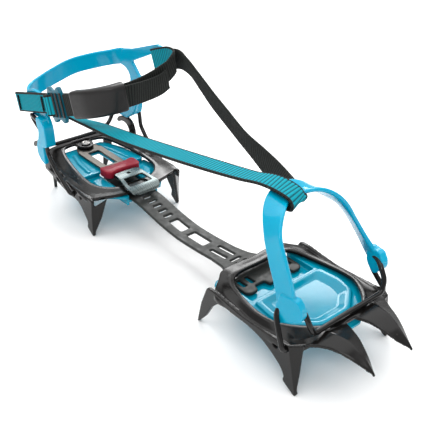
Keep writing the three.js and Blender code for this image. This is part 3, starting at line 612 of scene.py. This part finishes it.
def front_plate():
    half = [(139, 0), (139, 16), (136.4, 22.5), (129, 33), (116, 36.6), (97, 35.4),
            (84, 33.8), (73, 34.4), (64, 33.4), (61, 29.6), (61, 24), (64, 26.5), (90, 26.5),
            (90, 0)]
    tongue = [(137, -13), (142.6, -10), (142.6, 10), (137, 13)]
    tray = mirrored([(133, 12), (121, 27), (110, 30), (93, 28)])
    parts = [sheet_metal(filleted(mirrored(half), 1.2), [], 26.2, 28.2, edge=0.5),
             sheet_metal(filleted(tongue, 1.2), [], 25.6, 27.8),
             rim(tray, (110, 0), (1.0, 0.97, 0.86, 0.62), (27.2, 30.2, 30.2, 27.4)),
             block(66, 91.5, -27.5, 27.5, 22.4, 24.4), block(90, 92, -27.5, 27.5, 22.4, 28.2),
             block(66, 92, 26, 28, 22.4, 28.2), block(66, 92, -28, -26, 22.4, 28.2)]
    bm = fused(parts, 0.5, 2)
    piece("front_plate_moulding", bm, PLATE_CYAN, "front_section",
          ["front_antiball_plate"])


def heel_plate():
    table = [(-144, 0), (-144, 17), (-139, 20.5), (-124, 26), (-108, 27.8), (-98, 27.6), (-98, 0)]
    window = [rectangle(-128, -103, -5.5, 5.5)]
    parts = [sheet_metal(filleted(mirrored(table), 1.5), window, 30.2, 32.2, edge=0.5)]
    for s in (1, -1):
        wing = [(-101, 13 * s), (-101, 31 * s), (-82, 33 * s), (-72, 29.5 * s), (-64, 21 * s),
                (-58, 16 * s), (-58, 13 * s)]
        pad = [(-92, 14.5 * s), (-92, 23 * s), (-82, 24 * s), (-75, 19 * s), (-73, 14.5 * s)]
        rail = [(-134, 12.5 * s), (-134, 14.6 * s), (-120, 18.6 * s), (-101, 21 * s),
                (-101, 18 * s), (-119, 15.4 * s)]
        parts.append(sheet_metal(filleted(wing, 1.2), [], 26.2, 28.4, edge=0.4))
        parts.append(sheet_metal(filleted(pad, 2.0), [], 27.6, 30.8, edge=0.8))
        parts.append(sheet_metal(filleted(rail, 0.8), [], 31.6, 33.4, edge=0.5))
        parts.append(block(-101, -59, *sorted((11.6 * s, 13.6 * s)), 20.6, 28.4))
        parts.append(block(-101, -98.5, *sorted((12 * s, 27 * s)), 26.2, 32.2))
    parts.append(block(-101, -62, -13.6, 13.6, 20.6, 22.6))
    piece("heel_plate_moulding", fused(parts, 0.45, 2), PLATE_CYAN, "heel_section",
          ["heel_antiball_plate"])


# ---------------------------------------------------------------- linking bar

BAR_LINE = [
    (-100, 25.4), (-62, 25.4), (-46, 24.2), (-27, 20.8), (-7, 18.7), (8, 18.9), (22, 19.8),
    (45, 22.2), (54, 23.6), (62, 25.9), (68, 26.6), (84, 26.6),
]
BAR_HALF = [
    (-100, 0), (-100, 7), (-97, 10.75), (34, 10.75), (46, 12.2), (54, 15.5), (66, 15.5), (66, 22),
    (70, 23.4), (81, 23.4), (83.6, 21), (83.6, 15), (79, 14), (79, 6), (83.6, 5), (83.6, 0),
]


def bent(bm, line, middle=0.0):
    """Bends a flat plate at height middle so that its mid surface follows the line in x and z."""
    curve = spline(line, 20 * (len(line) - 1))
    order = np.argsort(curve[:, 0])
    curve = curve[order]
    for v in bm.verts:
        v.co.z += float(np.interp(v.co.x, curve[:, 0], curve[:, 1])) - middle
    return bm


def linking_bar():
    holes = [rectangle(x - 1.3, x + 1.3, -3.6, 3.6) for x in
             (SLOT_FIRST_X - i * SLOT_PITCH for i in range(SLOT_COUNT))]
    holes += [rectangle(-21.5, -7, -4, 4, 1.2), rectangle(-1.5, 17, -4, 4, 1.2)]
    holes += [rectangle(24.5, 41, 2.2, 4.8, 1.1), rectangle(24.5, 41, -4.8, -2.2, 1.1)]
    holes += [rectangle(44.4, 47, -4.4, 4.4), circle(51.4, 3.4, 1.6), circle(51.4, -3.4, 1.6)]
    holes += [rectangle(68.5, 76.5, y - 1.7, y + 1.7) for y in (-19, -12.5, 12.5, 19)]
    flat = sheet_metal(filleted(mirrored(BAR_HALF), 1.4), holes, -PLATE / 2, PLATE / 2)
    bm = bent(fused([flat], 0.4, 2), BAR_LINE)
    piece("linking_bar_steel", bm, BAR_STEEL, "front_section", ["linking_bar"])


# ---------------------------------------------------------------- length adjuster

def adjuster_blade():
    blade = mirrored([(-143, 0), (-143, 5), (-138, 8), (-132, 10.3), (-74, 10.3), (-74, 0)])
    window = [rectangle(-127, -100, -5, 5, 1.0), circle(RIVET_X, 0, RIVET_HOLE)]
    bm = sheet_metal(filleted(blade, 1.0), window, 33.8, 34.9, edge=0.2)
    strip = piece("adjuster_blade_steel", bm, SATIN_STEEL, None,
                  ["adjuster_blade"])
    strip_bend = bend_mesh(strip, 1.0)
    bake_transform(strip_bend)


def adjuster_tab():
    tab = [(-94, -14), (-91, -15.5), (-84, -15), (-81, -12), (-82.5, -6), (-82.5, 6),
           (-81, 12), (-84, 15), (-91, 15.5), (-94, 14), (-92.5, 6), (-92.5, -6)]
    bm = sheet_metal(filleted(tab, 1.4), [], 32.6, 38.6, edge=1.1)
    piece("adjuster_tab_grip", bm, TAB_RED, "adjuster_lever", ["adjuster_tab"])


def adjuster_clip():
    clip = [(-81, -10.5), (-76, -10.5), (-58, -13.4), (-52.6, -12), (-51.6, -7),
            (-51.6, 7), (-52.6, 12), (-58, 13.4), (-76, 10.5), (-81, 10.5)]
    opening = filleted([(-71, -8.2), (-60, -10), (-60, 10), (-71, 8.2)], 1.2)
    flat = sheet_metal(filleted(clip, 1.6), [opening, circle(-76.4, 0, 1.5)], -0.6, 0.6)
    line = [(-80.6, 36.0), (-74, 35.9), (-64, 34.5), (-56, 33.5), (-53, 32.2), (-51.4, 30.2)]
    bm = bent(fused([flat], 0.3, 2), line)
    piece("adjuster_clip_steel", bm, BRIGHT_STEEL, "adjuster_lever",
          ["adjuster_clip"])


def bend_mesh(obj, step):
    """Cuts a flat piece into thin bays along x."""
    bm = bmesh.new()
    bm.from_mesh(obj.data)
    low, high = min(v.co.x for v in bm.verts), max(v.co.x for v in bm.verts)
    for x in np.arange(low + step * MM, high, step * MM):
        bmesh.ops.bisect_plane(bm, geom=[*bm.verts, *bm.edges, *bm.faces],
                               plane_co=(x, 0, 0), plane_no=(1, 0, 0))
    bm.to_mesh(obj.data)
    bm.free()
    return obj


def spun(profile, x, y, sides=32):
    """Solid of revolution about a vertical axis through x, y."""
    rows = []
    for r, z in profile:
        rows.append([(x + max(r, 0.01) * math.cos(a), y + max(r, 0.01) * math.sin(a), z)
                     for a in np.linspace(0, 2 * math.pi, sides, endpoint=False)])
    return skin(rows)


def tab_rivet():
    profile = [(0, 32.7), (3.0, 32.7), (3.2, 32.9), (3.2, 33.3), (3.0, 33.5), (1.8, 33.5),
               (1.8, 37.9), (3.4, 37.9), (3.6, 38.1), (3.6, 38.6), (3.3, 38.9), (2.6, 39.2),
               (2.2, 39.15), (1.9, 38.9), (1.2, 38.9), (0.9, 39.3), (0, 39.6)]
    piece("tab_rivet_head", spun(profile, RIVET_X, 0), RIVET_STEEL, "heel_section",
          ["tab_rivet"])


# ---------------------------------------------------------------- bail wires

def bail(far, near):
    """One bail wire: the near half run backwards on the -Y side, then the far half."""
    return [(x, -y, z) for x, y, z in reversed(near[1:])] + list(far)


TOE_WIRE = bail([
    (139.8, 0, 37.2), (140.4, 28.4, 37.6), (139.3, 31.3, 44.6), (135.4, 31.8, 51),
    (130.6, 34.2, 53.6), (125, 36.8, 52.4), (121.4, 39.6, 45), (122.6, 42.2, 38.4),
    (126.5, 43.1, 33.4), (132.5, 43.1, 28.2), (132.5, 36.8, 28.2),
], [
    (139.8, 0, 37.2), (140.4, 28.4, 37.6), (139.3, 31.3, 44.6), (135.4, 31.8, 51),
    (130.6, 34.2, 53.6), (123.4, 38, 51), (123.4, 40.4, 46.4), (128.4, 42.6, 37.5),
    (132.5, 43.1, 28.2), (132.5, 36.8, 28.2),
])
HEEL_WIRE = bail([
    (-148, 0, 39.8), (-147.6, 22.5, 40.2), (-146.4, 29, 46.5), (-148.4, 33.6, 52),
    (-147.6, 37.4, 59), (-141, 39.8, 62.6), (-127, 41.4, 64.2), (-121.2, 42, 60), (-120, 42, 48),
    (-112, 42, 39), (-91, 42, 26), (-91, 35.6, 26),
], [
    (-148, 0, 39.8), (-147.6, 22.5, 40.2), (-147.6, 29, 46.5), (-149, 33.6, 58),
    (-149.4, 37.4, 67.6), (-144.6, 39.8, 71.6), (-128, 41.4, 70.2), (-122, 42, 63),
    (-120, 42, 48), (-112, 42, 39), (-91, 42, 26), (-91, 35.6, 26),
])


def wires():
    piece("toe_wire_rod", tube(TOE_WIRE, WIRE), WIRE_STEEL, "toe_bail", ["toe_wire"])
    piece("heel_wire_rod", tube(HEEL_WIRE, WIRE), WIRE_STEEL, "heel_bail",
          ["heel_wire"])


# ---------------------------------------------------------------- moulded bands

TOE_BAND = [
    ((129.6, -36.6, 46.4), (1, 0.2, 0.1)), ((124.8, -37.6, 65), (1, 0.15, 0.05)),
    ((119.7, -38, 78.4), (1, 0.1, 0.3)), ((114, -36.5, 88.5), (1, 0, 0.3)),
    ((108, -31, 96.5), (1, 0.1, 0.1)), ((101.5, -22, 100.6), (1, 0.3, -0.2)),
    ((98, -10, 101.2), (1, 0.3, -0.35)), ((99.5, 2, 99.3), (1, 0.2, -0.1)),
    ((104, 13, 94), (1, -0.1, 0.4)), ((107.5, 23, 85.5), (1, -0.5, 0.6)),
    ((110.5, 30, 75), (1, -0.6, 0.5)), ((116, 35, 63), (1, -0.5, 0.4)),
    ((123.5, 37.2, 53), (1, -0.3, 0.3)), ((129.6, 38, 46.4), (1, -0.2, 0.1)),
]
FAR_TOE_LUG = [
    (120.8, 58), (121.6, 47.5), (124, 45), (128, 42.4), (130, 43), (134.8, 49.6), (134.6, 54),
    (131, 58.5),
]
NEAR_TOE_LUG = [
    (121.2, 52), (122, 42.6), (124, 41.2), (136.6, 47.4), (138.2, 50), (137.2, 55.5), (134, 60),
    (123.2, 60),
]


def toe_band():
    parts = [ribbon(TOE_BAND, rounded_section(BAND_W, BAND_T, 1.0, 0.25), 0.8)]
    for outline, s in ((FAR_TOE_LUG, 1), (NEAR_TOE_LUG, -1)):
        face = [(x, s * (35.6 - 0.2 * (x - 121)), z) for x, z in filleted(outline, 1.6)]
        parts.append(facet(face, (1, 4.6 * s, 0)))
    piece("toe_band_moulding", fused(parts, 0.4, 3), BAND_CYAN, "toe_bail",
          ["toe_band"])


HEEL_BACK = [
    ((-131, 36.8, 105.2), (0.25, 0, 1)), ((-141, 34.6, 102), (0.25, 0, 1)),
    ((-153, 24.5, 98.2), (0.1, 0.1, 1)), ((-166, 10, 92.5), (0, 0.1, 1)),
    ((-171.4, -3, 86.5), (-0.1, 0.1, 1)), ((-170.9, -15, 83), (-0.1, 0, 1)),
    ((-166, -26, 81.5), (-0.1, 0, 1)), ((-156, -34.4, 81.6), (0, 0, 1)),
    ((-146, -36.8, 82), (0, 0, 1)),
]
FAR_CHEEK = [
    (-137, 109.4), (-119, 113.6), (-84, 126), (-76, 123.5), (-76, 108), (-86, 99), (-100, 89),
    (-109, 77), (-115, 69), (-120, 60), (-131, 53), (-142, 53), (-144.5, 59), (-137, 71),
    (-125, 82), (-121.5, 88), (-123, 93.5), (-128, 97), (-137, 98),
]
FAR_WINDOW = [
    (-119, 103.7), (-109.6, 94), (-81, 108.8), (-88.2, 118.3),
]
NEAR_CHEEK = [
    (-152, 88.2), (-142, 92), (-127, 92), (-122, 86), (-125, 78), (-120, 72), (-118.6, 66),
    (-118.6, 55), (-121, 53), (-129.6, 53.6), (-127.8, 65), (-131.5, 70.6), (-146, 71.4),
    (-152, 75.6),
]
NEAR_WINDOW = [(-140, 79), (-131, 80.5), (-131, 88.5), (-140, 87.5)]
FAR_HEEL_LUG = [
    (-146.4, 57.4), (-143.4, 52.4), (-131.6, 52.2), (-120, 59.4), (-117.6, 66), (-118.6, 71),
    (-141, 71),
]
NEAR_HEEL_LUG = [
    (-131.4, 56), (-129, 64), (-131, 69.4), (-131, 75), (-123.6, 75), (-118.8, 70),
    (-118.4, 54.4), (-121, 52.6), (-130, 52.6),
]
NEAR_HEEL_SPUR = [
    (-128, 58), (-132.2, 57), (-135, 50), (-135, 43.8), (-131.2, 39.8), (-124.6, 37.4),
    (-123.8, 40.4), (-124.4, 58),
]


def heel_band():
    parts = [ribbon(HEEL_BACK, rounded_section(BAND_W, BAND_T, 1.0, 0.2), 0.8)]
    parts.append(sheet_metal(filleted(FAR_CHEEK, 3.0), [filleted(FAR_WINDOW, 1.2)],
                             35.5, 35.5 + BAND_T, "xz"))
    parts.append(sheet_metal(filleted(NEAR_CHEEK, 2.6), [filleted(NEAR_WINDOW, 1.0)],
                             -35.5 - BAND_T, -35.5, "xz"))
    for outline, low, high in ((FAR_HEEL_LUG, 36.6, 43.6), (NEAR_HEEL_LUG, -43.6, -36.6),
                               (NEAR_HEEL_SPUR, -43.5, -40.4)):
        parts.append(sheet_metal(filleted(outline, 2.0), [], low, high, "xz"))
    piece("heel_band_moulding", fused(parts, 0.4, 3), BAND_CYAN, "heel_bail",
          ["heel_band"])


# ---------------------------------------------------------------- webbing

NEAR_LEG = [
    ((92.2, -9, 99.3), (-0.1, 1, -0.1)), ((98.2, -10.4, 97), (-0.15, 1, -0.1)),
    ((103.4, -11.6, 95.4), (-0.25, 1, -0.05)), ((107.9, -12.8, 98.4), (-0.3, 1, 0)),
    ((106.4, -13.7, 102.3), (-0.3, 1, 0)), ((98.6, -15.4, 104.9), (-0.2, 1, 0)),
    ((90.4, -18, 106), (-0.1, 1, -0.02)), ((78, -21.4, 104.6), (0, 1, -0.05)),
    ((50, -27, 102.4), (0, 1, 0)), ((24, -30, 99.6), (0, 1, 0.02)),
    ((-26, -33, 93.4), (0, 1, 0)), ((-60, -34, 90), (0, 1, -0.16)),
    ((-96, -32.4, 84.2), (0, 1, -0.5)), ((-111, -31.2, 83.2), (0, 0.5, -1)),
    ((-120, -30.6, 83), (0, 0.05, -1)), ((-130, -31, 82.8), (0, 0, -1)),
]
FAR_LEG = [
    ((90, -2, 92.8), (0.3, 1, 0.6)), ((76, 6, 91), (0.2, 0.6, 1)),
    ((55, 14, 92.4), (0.05, 0.1, 1)), ((30, 19, 97), (0, -0.2, 1)),
    ((10, 23.4, 102), (0, -0.2, 1)), ((-12, 28, 108), (0, -0.2, 1)),
    ((-32, 32.6, 114.2), (0, -0.25, 1)), ((-48, 36.8, 118.2), (0, -0.3, 1)),
    ((-64, 40.6, 119), (0, -0.15, 1)), ((-80, 40.8, 115), (-0.2, 0, 1)),
]
ANKLE_RUN = [
    ((-87, 33.6, 114.4), (-0.3, 0, 1)), ((-77, 33.8, 118.2), (-0.25, 0, 1)),
    ((-67, 34, 121.2), (-0.2, 0, 1)), ((-58, 31.4, 121.4), (-0.1, 0, 1)),
    ((-54.2, 24, 117.8), (0, 0, 1)), ((-52.8, 13, 114.6), (0, 0, 1)),
    ((-50.6, -1, 112.4), (0, 0, 1)), ((-48.4, -14, 111.8), (-0.05, 0, 1)),
    ((-50.6, -26.4, 109.8), (-0.15, 0, 1)), ((-59.4, -35, 106.6), (-0.25, 0, 1)),
    ((-70, -38.2, 103.2), (-0.3, 0, 1)), ((-92, -38.4, 96.4), (-0.3, 0, 1)),
]
TAIL = [
    ((-83.8, -42.6, 99), (-0.3, 0, 1)), ((-77, -42.2, 101.2), (-0.3, 0, 1)),
    ((-67, -41, 104.3), (-0.3, 0, 1)), ((-57.4, -37.6, 107.2), (-0.25, 0, 1)),
    ((-47.4, -27.8, 110.4), (-0.15, 0, 1)), ((-44.8, -14.2, 111.4), (-0.05, 0, 1)),
    ((-47, -1.4, 110.6), (0, 0, 1)), ((-49.6, 13, 111), (0, 0, 1)),
    ((-51.6, 20.6, 112.6), (0, 0, 1)),
]
STUB = [
    ((-163, -40.4, 76.2), (-0.29, 0, 1)), ((-130, -40.4, 85.6), (-0.29, 0, 1)),
    ((-111, -40.6, 91.0), (-0.29, 0, 1)), ((-107.4, -42.8, 92.1), (-0.29, 0, 1)),
    ((-103.7, -46.2, 93.2), (-0.29, 0, 1)), ((-100.3, -45, 94.1), (-0.29, 0, 1)),
    ((-99.7, -42.2, 94.3), (-0.29, 0, 1)),
]
SELVEDGE = 1.3          # width of the plain edge of the webbing
# Each leg: how far it stays with the toe bail, then the share of its last length by which it has
# joined the heel bail.
LEG_HOLD = {"near_leg": 44.0, "far_leg": 12.0}
LEG_REACH = {"near_leg": 0.46, "far_leg": 0.85}


def tape_section(thickness):
    h, t = TAPE_W / 2, thickness / 2
    inner = h - SELVEDGE
    us = [-h + 0.35, -inner - 0.2, *np.linspace(-inner, inner, 9), inner + 0.2, h - 0.35]
    low = [(u, -t) for u in us]
    high = [(u, t) for u in us[::-1]]
    return low + [(h, -t * 0.4), (h, t * 0.4)] + high + [(-h, t * 0.4), (-h, -t * 0.4)]


def tape(name, stations, body, nodes=(), face=1, thickness=TAPE_T, start=0.0, stop=None):
    """A length of webbing: ribbed faces, plain black selvedges. face 1 or -1 is the cyan side.
    start and stop pick a part of the whole strap by distance, so that parts join without a seam."""
    section = tape_section(thickness)
    inner = TAPE_W / 2 - SELVEDGE
    centre, across, normal, along = lane(stations, RIB_PITCH / 8)
    stop = along[-1] if stop is None else stop
    first, last = (int(np.argmin(abs(along - s))) for s in (start, stop))
    keep = range(first, last + 1)
    n = len(section)
    verts, uvs = [], []
    for i in keep:
        rib = 0.5 - 0.5 * math.cos(2 * math.pi * along[i] / RIB_PITCH)
        for u, v in section:
            full = abs(u) <= inner + 0.01
            lift = (0.20 * (rib - 0.7) if full else -0.04 * rib) * math.copysign(1, v)
            verts.append(centre[i] + across[i] * u + normal[i] * (v + lift))
            uvs.append((along[i] / RIB_PITCH, u / TAPE_W + 0.5))
    bm = bmesh.new()
    made = [bm.verts.new(tuple(v)) for v in verts]
    layer = bm.loops.layers.uv.new("strap")
    rows = len(keep)
    for s in range(rows - 1):
        for k in range(n):
            j = (k + 1) % n
            f = bm.faces.new([made[s * n + k], made[(s + 1) * n + k], made[(s + 1) * n + j],
                              made[s * n + j]])
            for loop, q in zip(f.loops, (s * n + k, (s + 1) * n + k, (s + 1) * n + j, s * n + j)):
                loop[layer].uv = uvs[q]
            (u0, v0), (u1, v1) = section[k], section[j]
            wide = max(abs(u0), abs(u1)) <= inner + 0.01
            cyan = wide and v0 * face > 0 and v1 * face > 0
            f.material_index = 0 if cyan else 1
    for row in (0, rows - 1):
        f = bm.faces.new([made[row * n + k] for k in range(n)])
        f.material_index = 1
    bmesh.ops.recalc_face_normals(bm, faces=bm.faces)
    return piece(name, bm, [TAPE_CYAN, TAPE_BLACK], body, nodes)


def leg(name, stations, cuts, nodes, face):
    """A strap leg from the toe bail to the heel bail, in three lengths, one across each joint."""
    whole = lane(stations, RIB_PITCH / 8)
    centre, along = whole[0], whole[3]
    names = ("toe", "middle", "heel")
    pairs = (("toe_bail", "front_section"), ("front_section", "heel_section"),
             ("heel_section", "heel_bail"))
    edges = [0.0, *cuts, along[-1]]
    for part, pair, a, b in zip(names, pairs, edges, edges[1:]):
        obj = tape(f"{name}_{part}", stations, None, nodes if part == "toe" else (), face,
                   start=a, stop=b)
        i, j = (int(np.argmin(abs(along - s))) for s in (a, b))
        first, last = Vector(centre[i]) * MM, Vector(centre[j]) * MM
        if part == "toe":
            k = int(np.argmin(abs(along - LEG_HOLD[name])))
            first = Vector(centre[k]) * MM
        if part == "heel":
            last = first.lerp(last, LEG_REACH[name])
        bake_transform(obj)


def webbing():
    leg("near_leg", NEAR_LEG, (92.0, 120.0), ["webbing_near_leg"], -1)
    leg("far_leg", FAR_LEG, (84.0, 112.0), ["webbing_far_leg"], 1)
    tape("ankle_run_tape", ANKLE_RUN, "heel_bail", ["webbing_ankle_run"], 1)
    tape("tail_tape", TAIL, "heel_bail", ["webbing_tail"], -1)
    tape("stub_tape", STUB, "heel_bail", ["webbing_stub"], 1, 2.4)


STITCHES = 17
STITCH_RISE, STITCH_HALF = 0.7, 1.3


def tacks():
    """A zigzag of thread across the stub near each end, square to its slope."""
    middle = STITCHES // 2
    for node_name, x in (("stub_tack_rear", -158), ("stub_tack_front", -119)):
        z = 85.6 + (x + 130) * 0.285
        rows = [(x + (STITCH_HALF if k % 2 else -STITCH_HALF) - 0.12 * (k - middle), -42.2,
                 z + STITCH_RISE * (k - middle)) for k in range(STITCHES)]
        bm = tube(rows, 0.45, 0.2, 8)
        piece(node_name + "_thread", bm, THREAD, "heel_bail", [node_name])


# ---------------------------------------------------------------- buckle and keeper

BUCKLE_HALF = [
    (10, 0), (10, 8.6), (9.2, 10.8), (7.8, 12.8), (5.4, 12.4), (2.2, 10.2), (-2.2, 10.2),
    (-5.6, 12.8), (-8, 12.4), (-9.2, 10), (-10, 8.6), (-10, 0),
]


def buckle():
    place = (Matrix.Translation((-94.5, -42.2, 96)) @ Matrix.Rotation(math.radians(-16), 4, "Y"))
    slots = [rectangle(u0, u1, -8.2, 8.2) for u0, u1 in ((-8.0, -3.4), (-1.2, 2.0), (4.2, 8.0))]
    plate = sheet_metal(filleted(mirrored(BUCKLE_HALF), 1.4), slots, -2, 1, "xz", edge=0.6)
    bmesh.ops.transform(plate, matrix=place, verts=plate.verts)
    piece("buckle_body", plate, BUCKLE_TEAL, "buckle", ["buckle"])
    ribs = []
    for u in (-2.3, 3.1, 9):
        for k in range(3):
            bar = sheet_metal(rectangle(u - 1.05 + 0.75 * k, u - 0.45 + 0.75 * k, -8.6, 8.6),
                              [], -2.5, -1.4, "xz", edge=0.2)
            ribs.append(bar)
    bars = merged(ribs)
    bmesh.ops.transform(bars, matrix=place, verts=bars.verts)
    piece("buckle_grip_bars", bars, BUCKLE_BLACK, "buckle")


KEEPER = [((-73, -40.2, 102.4), (-0.3, 0, 1)), ((-58.4, -36.4, 106.9), (-0.25, 0, 1)),
          ((-49.4, -27.7, 110), (-0.15, 0, 1)), ((-46.9, -18, 111.2), (-0.06, 0, 1))]
KEEPER_OUTER, KEEPER_BORE = (19, 8.8), (16.4, 6.6)
KEEPER_STEP = 0.8
KEEPER_PINCH, KEEPER_LIP = 0.03, 1.2    # share the ends draw in by, and over what length


def keeper():
    """A rubber tube round the straps: out along its outer skin and back along its bore."""
    centre, across, normal, _ = lane(KEEPER, KEEPER_STEP)
    outer = rounded_section(*KEEPER_OUTER, 2.2)
    inner = [(u * KEEPER_BORE[0] / KEEPER_OUTER[0], v * KEEPER_BORE[1] / KEEPER_OUTER[1])
             for u, v in outer]
    last = len(centre) - 1
    path = []
    for i in range(last + 1):
        ends = min(i, last - i) * KEEPER_STEP
        path.append((i, outer, 1 - KEEPER_PINCH * max(0.0, 1 - ends / KEEPER_LIP)))
    path += [(i, inner, 1.0) for i in range(last, -1, -1)]
    sections = []
    for i, shape, scale in path:
        sections.append([tuple(centre[i] + across[i] * u * scale + normal[i] * v * scale)
                         for u, v in shape])
    bm = skin(sections, closed=True)
    piece("keeper_sleeve_rubber", bm, RUBBER, "keeper", ["keeper_sleeve"])


# ---------------------------------------------------------------- studio

CAMERA_AT = Vector((0.3288, -0.2577, 0.2873))
CAMERA_YAW, CAMERA_PITCH, CAMERA_ROLL = (math.radians(a) for a in (139.254, 31.523, 0.854))
CAMERA_LENS = 58.33


def camera():
    y, p, r = CAMERA_YAW, CAMERA_PITCH, CAMERA_ROLL
    look = Vector((math.cos(y) * math.cos(p), math.sin(y) * math.cos(p), -math.sin(p)))
    right = Vector((math.sin(y), -math.cos(y), 0))
    up = right.cross(look)
    right, up = (math.cos(r) * right + math.sin(r) * up, -math.sin(r) * right + math.cos(r) * up)
    data = bpy.data.cameras.new("camera")
    data.lens = CAMERA_LENS
    data.sensor_width = 36
    data.clip_start = 0.01
    cam = bpy.data.objects.new("camera", data)
    bpy.context.scene.collection.objects.link(cam)
    turn = Matrix((right, up, -look)).transposed().to_4x4()
    cam.matrix_world = Matrix.Translation(CAMERA_AT) @ turn
    bpy.context.scene.camera = cam


def softbox(name, at, size, watts, target=(0, 0, 0.03), colour=(1, 1, 1)):
    data = bpy.data.lights.new(name, "AREA")
    data.shape = "RECTANGLE"
    data.size, data.size_y = size
    data.energy = watts
    data.color = colour
    lamp = bpy.data.objects.new(name, data)
    bpy.context.scene.collection.objects.link(lamp)
    lamp.location = at
    lamp.rotation_euler = (Vector(target) - Vector(at)).to_track_quat("-Z", "Y").to_euler()


def studio():
    m, _, b = shader("floor_paper", (0.95, 0.95, 0.95), 0.8)
    b.inputs["Specular IOR Level"].default_value = 0.1
    bm = bm_from([(-6000, -6000, 0), (6000, -6000, 0), (6000, 6000, 0), (-6000, 6000, 0)],
                 [(0, 1, 2, 3)])
    bmesh.ops.scale(bm, vec=(MM,) * 3, verts=bm.verts)
    mesh = bpy.data.meshes.new("floor")
    bm.to_mesh(mesh)
    bm.free()
    mesh.materials.append(m)
    floor = bpy.data.objects.new("floor", mesh)
    bpy.context.scene.collection.objects.link(floor)
    world = bpy.data.worlds.new("studio")
    bpy.context.scene.world = world
    world.use_nodes = True
    world.node_tree.nodes["Background"].inputs["Color"].default_value = (1, 1, 1, 1)
    world.node_tree.nodes["Background"].inputs["Strength"].default_value = 0.62
    bpy.context.scene.view_settings.view_transform = "Standard"
    softbox("overhead", (-0.1, 0.1, 1.1), (2.2, 1.6), 19)
    softbox("back", (-0.75, 0.65, 0.7), (0.7, 0.25), 6)
    softbox("side", (0.55, -0.55, 0.75), (0.5, 0.25), 2.5)


def build():
    camera()
    studio()
    front_frame()
    heel_frame()
    front_plate()
    heel_plate()
    linking_bar()
    adjuster_blade()
    adjuster_tab()
    adjuster_clip()
    tab_rivet()
    wires()
    toe_band()
    heel_band()
    webbing()
    tacks()
    buckle()
    keeper()


build()
